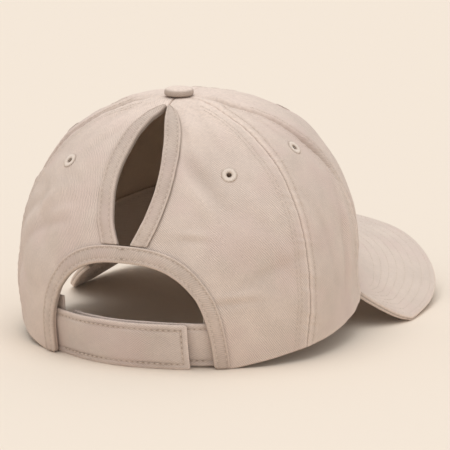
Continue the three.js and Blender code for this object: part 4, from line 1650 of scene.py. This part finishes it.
def opening_row(route, q, low, high, side=1):
    """A path of stitches along an opening's tape."""
    along = np.linspace(low, high, 400)
    row = min(range(len(TAPE_SECTION) // 2), key=lambda i: abs(TAPE_SECTION[i]["q"] - q))
    out = TAPE_SECTION[row]["out"] * MM
    x, share_up = route(along, q + 0 * along)
    return path_normals(crown_point, turn_at_x(x, share_up) * side, share_up, out)


# Straps


def outer_strap_out(x):
    return from_table(STRAP_ROUTE, "across", x / sizes().arch_half_width, "out") * MM


def inner_strap_out(x):
    s = sizes()
    under = outer_strap_out(-x) - s.strap_thickness - s.patch_thickness - 2 * s.layer_gap
    root = -s.cloth - 2 * s.layer_gap - s.tape_thickness
    easing = blend_in(x / s.arch_half_width, INNER_STRAP_EASING["under"], INNER_STRAP_EASING["root"])
    return np.minimum(mixed(under, root, easing), root)


def strap_surface(side, out_at):
    def surface(x, height, out):
        turn = turn_at_x(x, share_at_height(0 * x, height))
        return wall_point(turn * side, height, out_at(x) + out)

    return surface


def strap_piece(name, node, side, end, out_at, lift, corner):
    """A folded strap from its root to its end, with rolled edges and a furrow along its stitching."""
    s = sizes()
    sewn = thread_sizes().edge_row
    surface = strap_surface(side, out_at)
    root = s.arch_half_width + s.strap_root

    def place(u, v):
        height = lift + (s.strap_width - lift) * v
        edge = np.minimum(height - lift, s.strap_width - height)
        inset = corner - np.sqrt(np.maximum(corner**2 - np.maximum(corner - edge, 0) ** 2, 0))
        x = mixed(root, -end + inset, u)
        inside = np.minimum(edge, np.abs(x + end))
        furrow = STRAP_RELIEF["furrow"] * MM * bell(inside - sewn, 0.9 * MM)
        rolled = STRAP_RELIEF["rolled"] * MM * bell(inside, 0.8 * MM)
        waver = np.sin(x * FULL_TURN / (7 * MM) + 2 * np.sin(x * 260))
        ripple = STRAP_RELIEF["ripple"] * MM * waver * bell(inside, 4 * MM)
        sag = waves_at(np.stack([x, 0 * x, height * 1.2], -1)) * STRAP_RELIEF["sag"]
        out = -furrow - rolled + ripple + np.minimum(sag, STRAP_RELIEF["highest"] * MM)
        # Worn rolled edges, and painted shade in the furrow along the stitching.
        marks = {"wear": 0.9 * bell(inside, 0.9 * MM), "crevice": 0.2 * bell(inside - sewn, 0.6 * MM)}
        return surface(x, height, out), np.stack([x, height], -1), marks

    mesh = grid_mesh(name, *STRAP_GRID, place)
    piece = add_piece(name, mesh, "strap_cotton", cloth_material("washed_strap_twill"))
    thicken(piece, s.strap_thickness - 0.1 * MM, edge=0.6 * MM)
    declare_sheet(piece)
    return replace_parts(piece, node)


def fastener_place(u, v):
    """The hook-and-loop patch between the straps, with its fine loops."""
    s = sizes()
    x = mixed(-s.outer_strap_end + s.patch_margin, s.inner_strap_end - s.patch_margin, u)
    height = mixed(s.patch_margin, s.strap_width - s.patch_margin, v)
    loops = 0.1 * MM * np.sin(x * 5200 + 3 * np.sin(height * 900)) * np.sin(height * 4700)
    points = strap_surface(1, outer_strap_out)(x, height, -s.strap_thickness - s.layer_gap + loops)
    return points, np.stack([x, height], -1), {"wear": 0 * u, "crevice": 0.1 + 0 * u}


def strap_rows(side, end, out_at, lift, root):
    """Edge stitching along both long edges and across the end of a strap."""
    s = sizes()
    row = thread_sizes().edge_row
    along = np.linspace(root, -end + row, 260)
    levels = np.linspace(lift + row, s.strap_width - row, 60)
    paths = [(along, along * 0 + lift + row), (along, along * 0 + s.strap_width - row)]
    paths.append((levels * 0 - end + row, levels))
    surface = strap_surface(side, out_at)
    return [path_normals(surface, x, height, -0.15 * MM) for x, height in paths]


# Button


def button_mesh():
    """The button's cover: a turned profile, gathered below its flat top, with a painted highlight on the top
    and painted shade on its sides and foot.
    """
    s = sizes()
    bm = bmesh.new()
    ring = []
    for row in BUTTON_PROFILE:
        ring.append(bm.verts.new((row["radius"] * s.button_radius, 0, row["height"] * s.button_height)))
    edges = [bm.edges.new(pair) for pair in zip(ring, ring[1:])]
    spin_round(bm, [*ring, *edges], BUTTON_STEPS)
    bmesh.ops.remove_doubles(bm, verts=bm.verts, dist=WELD)
    bmesh.ops.holes_fill(bm, edges=[e for e in bm.edges if e.is_boundary], sides=0)
    bmesh.ops.recalc_face_normals(bm, faces=bm.faces)
    weave = bm.loops.layers.uv.new("weave")
    wear = bm.verts.layers.float.new("wear")
    crevice = bm.verts.layers.float.new("crevice")
    for vert in bm.verts:
        turned = math.atan2(vert.co.y, vert.co.x)
        rise = vert.co.z / s.button_height
        gather = BUTTON_GATHER * MM * math.sin(16 * turned + 1.5 * math.sin(5 * turned)) * (1 - rise)
        if math.hypot(vert.co.x, vert.co.y) > s.button_radius * 0.5:
            vert.co.x += gather * math.cos(turned)
            vert.co.y += gather * math.sin(turned)
        # Painted highlight on the flat top; painted shade on the sides and at the foot.
        flat_top = float(blend_in(rise, 0.62, 0.84))
        vert[wear] = flat_top
        vert[crevice] = BUTTON_SHADE * float(bell(rise, 0.3)) + BUTTON_SHADE * (1 - flat_top)
    for face in bm.faces:
        for corner in face.loops:
            stretch = 1 + (s.button_height - corner.vert.co.z) / s.button_radius
            corner[weave].uv = corner.vert.co.xy * stretch
    low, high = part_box("top_button")
    foot = Vector(((low.x + high.x) / 2, (low.y + high.y) / 2, high.z - s.button_height))
    bmesh.ops.translate(bm, verts=bm.verts, vec=foot)
    return finished(bm, "covered_button", smooth=True)


# Visor cloth


def visor_surface(side, out, down, proud):
    """Points on the visor, the plan below them, and how near its rows of stitching they are."""
    s = sizes()
    outline = visor_outline(side)
    root = visor_root(math.pi - s.visor_turn * side)
    plan = mixed(root, outline, out[:, None])
    top = plan.copy()
    top[:, 2] = visor_height(plan[:, 0], plan[:, 1])
    up = unit(mixed(np.array([0, 0, 1.0]), visor_up(plan[:, 0], plan[:, 1]), out[:, None]))
    level = outline - root
    level[:, 2] = 0
    quilt = sum(bell(out - row, 0.012) for row in VISOR_ROWS)
    corner = blend_in(1 - np.abs(side), 0, 0.05)
    on_face = (down < 0.03) | (down > 0.97)
    sink = VISOR_FURROW * MM * quilt * np.where(down < 0.5, -1, 1) * on_face * corner
    sink = sink + waves_at(plan * 0.8) * VISOR_WAVES * corner * out
    points = top + up * (sink - down * s.visor_thickness)[:, None] + unit(level) * proud[:, None]
    points[:, 2] = np.maximum(points[:, 2], 0)
    return points, plan, quilt


def visor_place(u, v):
    """Walks round the visor's section at u and along its outline at v."""
    cells = [row["cells"] for row in VISOR_SECTION]
    starts = np.cumsum([0] + cells[:-1])
    out, down, proud = (
        np.interp(u * sum(cells), starts, [row[k] for row in VISOR_SECTION]) for k in ("out", "down", "proud")
    )
    side = 2 * v - 1
    corner = blend_in(1 - np.abs(side), 0, 0.04)
    points, plan, quilt = visor_surface(side, out, down, proud * MM * corner)
    # Painted shade in the rows' furrows and in the groove round the edge; the edge itself is worn paler.
    groove = bell(down - 0.5, 0.07) * (out > 0.98)
    crevice = np.clip(VISOR_TONES["row"] * quilt + VISOR_TONES["edge_groove"] * groove, 0, DARKEST)
    return points, plan[:, :2], {"wear": VISOR_TONES["edge"] * bell(out - 1, 0.012), "crevice": crevice}


def visor_rows():
    """Paths of the concentric rows, above and below."""
    paths = []
    for row in VISOR_ROWS:
        reach = 0.93 if row > 0.6 else 0.88
        side = np.linspace(-reach, reach, 900)
        for down, facing in ((0.0, 1), (1.0, -1)):
            points, _, _ = visor_surface(side, row + 0 * side, down + 0 * side, 0 * side)
            paths.append((points + frame_shift(), visor_up(points[:, 0], points[:, 1]) * facing))
    return paths


# Sweatband


def band_start():
    """The turn where the sweatband ends, inside the arch."""
    s = sizes()
    end = np.array([s.arch_half_width - s.band_overhang])
    return float(turn_at_x(end, np.array([s.bulge_share / 2]))[0])


def band_surface(turn, rise, out):
    """A point of the band, inside the straps at the back and on the cloth further round."""
    s = sizes()
    away = from_back(turn)
    corner = 180 - math.degrees(s.visor_turn)
    over_visor = blend_in(away, corner, corner + BAND_EASING["corner"])
    low = rim_height(turn) + mixed(s.band_lift, -s.visor_thickness, over_visor)
    behind = -s.cloth - s.layer_gap - s.tape_thickness - s.strap_thickness - 2 * s.layer_gap
    on_wall = blend_in(away, BAND_EASING["strap"], BAND_EASING["wall"])
    return wall_point(turn, low + rise, mixed(behind, -s.cloth - s.band_gap, on_wall) + out)


def band_place(u, v):
    """The band from one end to the other at u and up its width at v."""
    s = sizes()
    start = band_start()
    turn = mixed(start, FULL_TURN - start, u)
    rise = s.band_width * v
    edge = np.minimum(rise, s.band_width - rise)
    row = bell(rise - s.band_width + BAND_ROW, 0.7 * MM)
    ripple = 0.1 * MM * np.sin(turn * 90 + 2 * np.sin(turn * 31)) * v
    out = np.minimum(ripple, 0) - 0.2 * MM * (row + bell(edge, 0.6 * MM))
    weave = np.stack([turn * BAND_RADIUS, rise], -1)
    # Worn edges, and painted shade in the furrow of the stitching row.
    return band_surface(turn, rise, out), weave, {"wear": 0.5 * bell(edge, MM), "crevice": 0.15 * row}


# Stage


def direction(turn, height):
    """From the cap towards a place with this turn round it and this angle above the floor."""
    level = math.cos(height)
    return Vector((math.sin(turn) * level, -math.cos(turn) * level, math.sin(height)))


def place_facing(thing, location, back):
    """Links a camera or light and points it the opposite way of back."""
    bpy.context.scene.collection.objects.link(thing)
    thing.location = location
    thing.rotation_mode = "QUATERNION"
    thing.rotation_quaternion = (-back).to_track_quat("-Z", "Y")


def add_sun(name, turn, height, strength):
    """A far soft light."""
    light = bpy.data.objects.new(name, bpy.data.lights.new(name, "SUN"))
    light.data.energy = strength
    light.data.angle = bpy.context.scene.cap_stage.softness
    towards = direction(turn, height)
    place_facing(light, towards * LIGHT_DISTANCE, towards)


def floor_material():
    looks = {"Base Color": (*cap_colours().floor, 1), "Roughness": 0.9, "Specular IOR Level": 0.1}
    material, _, _ = new_material("pale_floor", looks)
    return material


# Operators


class CAP_OT_panels(bpy.types.Operator):
    """Sew the six crown panels and their eyelets"""

    bl_idname = "cap.panels"
    bl_label = "Panels and eyelets"

    def execute(self, context):
        for spec, hole in zip(PANELS, EYELETS):
            for word, side in SIDES:
                cloth = panel(spec, word, side)
                eyelet(hole, word, side, cloth)
        return {"FINISHED"}


class CAP_OT_seams(bpy.types.Operator):
    """Sew the rows of top stitching beside the crown's seams"""

    bl_idname = "cap.seams"
    bl_label = "Seam stitching"

    def execute(self, context):
        for word, side in SIDES:
            paths = []
            for row in SEAM_ROWS:
                level = np.linspace(0.012, row["top"], 500)
                turn = seam_turn(row["seam"], level)
                share_up = mixed(rim_share(turn), 1.0, level)
                turn = seam_turn(row["seam"], share_up)
                turn = turn + row["offset"] * MM / turn_length(turn, share_up)
                share_up = np.maximum(share_up, rim_share(turn) + 0.01)
                paths.append(path_normals(crown_point, turn * side, share_up))
            thread_piece(f"seam_thread_{word}", paths, thread_sizes().seam_hole)
        return {"FINISHED"}


class CAP_OT_button(bpy.types.Operator):
    """Cover the button on top"""

    bl_idname = "cap.button"
    bl_label = "Top button"

    def execute(self, context):
        cloth = cloth_material("washed_crown_twill")
        piece = add_piece("covered_button", button_mesh(), "crown_cotton", cloth)
        soften(piece)
        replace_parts(piece, "top_button")
        return {"FINISHED"}


class CAP_OT_visor(bpy.types.Operator):
    """Shape the visor and sew its concentric rows"""

    bl_idname = "cap.visor"
    bl_label = "Visor"

    def execute(self, context):
        cells = sum(row["cells"] for row in VISOR_SECTION)
        mesh = grid_mesh("visor_cloth", cells, VISOR_STATIONS, visor_place, welded=True)
        piece = add_piece("visor_cloth", mesh, "visor_cotton", cloth_material("washed_visor_twill"))
        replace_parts(piece, "visor")
        thread = thread_material("visor_row_thread", cap_colours().visor)
        thread_piece("visor_thread", visor_rows(), thread_sizes().fine_hole, thread)
        return {"FINISHED"}


class CAP_OT_sweatband(bpy.types.Operator):
    """Fold the sweatband inside the rim"""

    bl_idname = "cap.sweatband"
    bl_label = "Sweatband"

    def execute(self, context):
        s = sizes()
        mesh = grid_mesh("band_cloth", *BAND_GRID, band_place)
        piece = add_piece("band_cloth", mesh, "sweatband_cotton", cloth_material("soft_band_cotton"))
        thicken(piece, s.band_thickness, edge=0.4 * MM)
        declare_sheet(piece)
        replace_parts(piece, "sweatband")

        start = band_start() + 0.03
        turn = np.linspace(start, FULL_TURN - start, 1500)
        rise = s.band_width - BAND_ROW + 0 * turn
        inner = -s.band_thickness + 0.05 * MM
        points = band_surface(turn, rise, inner)
        normals = unit(band_surface(turn, rise, inner - MM) - points)
        thread_piece("band_thread", [(points + frame_shift(), normals)])
        return {"FINISHED"}


class CAP_OT_bindings(bpy.types.Operator):
    """Fold the tapes round the arch and the teardrop and stitch them down"""

    bl_idname = "cap.bindings"
    bl_label = "Arch and teardrop tapes"

    def execute(self, context):
        def arch_route(v, q):
            return arch_edge(math.pi * v, q)

        tape_piece("arch_tape", "arch_binding", ARCH_STATIONS, arch_route)
        thread_piece("arch_thread", [opening_row(arch_route, q, 0.01, 0.99) for q in (OUTER_ROW, INNER_ROW)])
        for word, side in SIDES:

            def route(v, q, side=side):
                x, share_up = teardrop_edge(v, q)
                return x * side, share_up

            tape_piece(f"teardrop_tape_{word}", f"teardrop_binding_{word}", TEARDROP_STATIONS, route)
            paths = [opening_row(route, OUTER_ROW, 0.01, 0.93), opening_row(route, INNER_ROW, 0.01, 0.8)]
            thread_piece(f"teardrop_thread_{word}", paths)
        return {"FINISHED"}


class CAP_OT_straps(bpy.types.Operator):
    """Sew the two closing straps and their fastener"""

    bl_idname = "cap.straps"
    bl_label = "Straps and fastener"

    def execute(self, context):
        s = sizes()
        outer = (1, s.outer_strap_end, outer_strap_out, 0.0)
        inner = (-1, s.inner_strap_end, inner_strap_out, s.inner_strap_lift)
        strap_piece("strap_outer_cloth", "strap_outer", *outer, s.strap_corner)
        strap_piece("strap_inner_cloth", "strap_inner", *inner, s.gap)
        shown = s.arch_half_width - 2 * MM
        thread_piece("strap_thread", strap_rows(*outer, shown) + strap_rows(*inner, shown)[:2])

        mesh = grid_mesh("fastener_cloth", *STRAP_GRID, fastener_place)
        piece = add_piece("fastener_cloth", mesh, "hook_and_loop", cloth_material("fastener_pile"))
        thicken(piece, s.patch_thickness - 0.2 * MM, edge=0.3 * MM)
        declare_sheet(piece)
        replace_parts(piece, "hook_and_loop_patch")
        return {"FINISHED"}


class CAP_OT_stage(bpy.types.Operator):
    """Set up the floor, the soft lights and the camera"""

    bl_idname = "cap.stage"
    bl_label = "Stage and camera"

    def execute(self, context):
        scene = context.scene
        stage = scene.cap_stage
        aim = Vector((stage.aim_x, stage.aim_y + crown_centre_y(), stage.aim_z))
        back = direction(stage.azimuth, stage.elevation)
        camera = bpy.data.objects.new("camera", bpy.data.cameras.new("camera"))
        camera.data.lens = stage.lens
        camera.data.clip_end = CAMERA_END
        place_facing(camera, aim + back * stage.distance, back)
        scene.camera = camera

        bm = bmesh.new()
        bmesh.ops.create_grid(bm, x_segments=8, y_segments=8, size=stage.floor_size / 2)
        mesh = finished(bm, "floor")
        floor = bpy.data.objects.new("floor", mesh)
        scene.collection.objects.link(floor)
        mesh.materials.append(floor_material())

        add_sun("key", stage.azimuth - stage.key_turn, stage.key_height, stage.key_strength)
        add_sun("fill", stage.azimuth - stage.fill_turn, stage.fill_height, stage.fill_strength)
        world = bpy.data.worlds.new("sky")
        world.use_nodes = True
        set_inputs(world.node_tree.nodes["Background"], {"Color": (1, 1, 1, 1), "Strength": stage.sky})
        scene.world = world
        scene.view_settings.view_transform = "Standard"
        return {"FINISHED"}


class CAP_PT_sidebar(bpy.types.Panel):
    """Lists the steps that dress the cap"""

    bl_idname = "CAP_PT_sidebar"
    bl_label = "Ponytail Cap"
    bl_space_type = "VIEW_3D"
    bl_region_type = "UI"
    bl_category = "Cap"

    def draw(self, context):
        for step in STEPS:
            self.layout.operator(step.bl_idname)
        for group in (context.scene.cap_sizes, context.scene.cap_sewing, context.scene.cap_colours):
            box = self.layout.box()
            for key in group.__annotations__:
                box.prop(group, key)


STEPS = (
    CAP_OT_stage,
    CAP_OT_panels,
    CAP_OT_seams,
    CAP_OT_button,
    CAP_OT_visor,
    CAP_OT_sweatband,
    CAP_OT_bindings,
    CAP_OT_straps,
)
GROUPS = {
    "cap_sizes": CapSizes,
    "cap_sewing": CapSewing,
    "cap_colours": CapColours,
    "cap_stage": CapStage,
}


def register():
    for part in (*GROUPS.values(), *STEPS, CAP_PT_sidebar):
        bpy.utils.register_class(part)
    for name, group in GROUPS.items():
        setattr(bpy.types.Scene, name, PointerProperty(type=group))


def unregister():
    for name in GROUPS:
        delattr(bpy.types.Scene, name)
    for part in (CAP_PT_sidebar, *reversed(STEPS), *GROUPS.values()):
        bpy.utils.unregister_class(part)


def main():
    register()
    for step in STEPS:
        family, name = step.bl_idname.split(".")
        getattr(getattr(bpy.ops, family), name)()


if __name__ == "__main__":
    main()
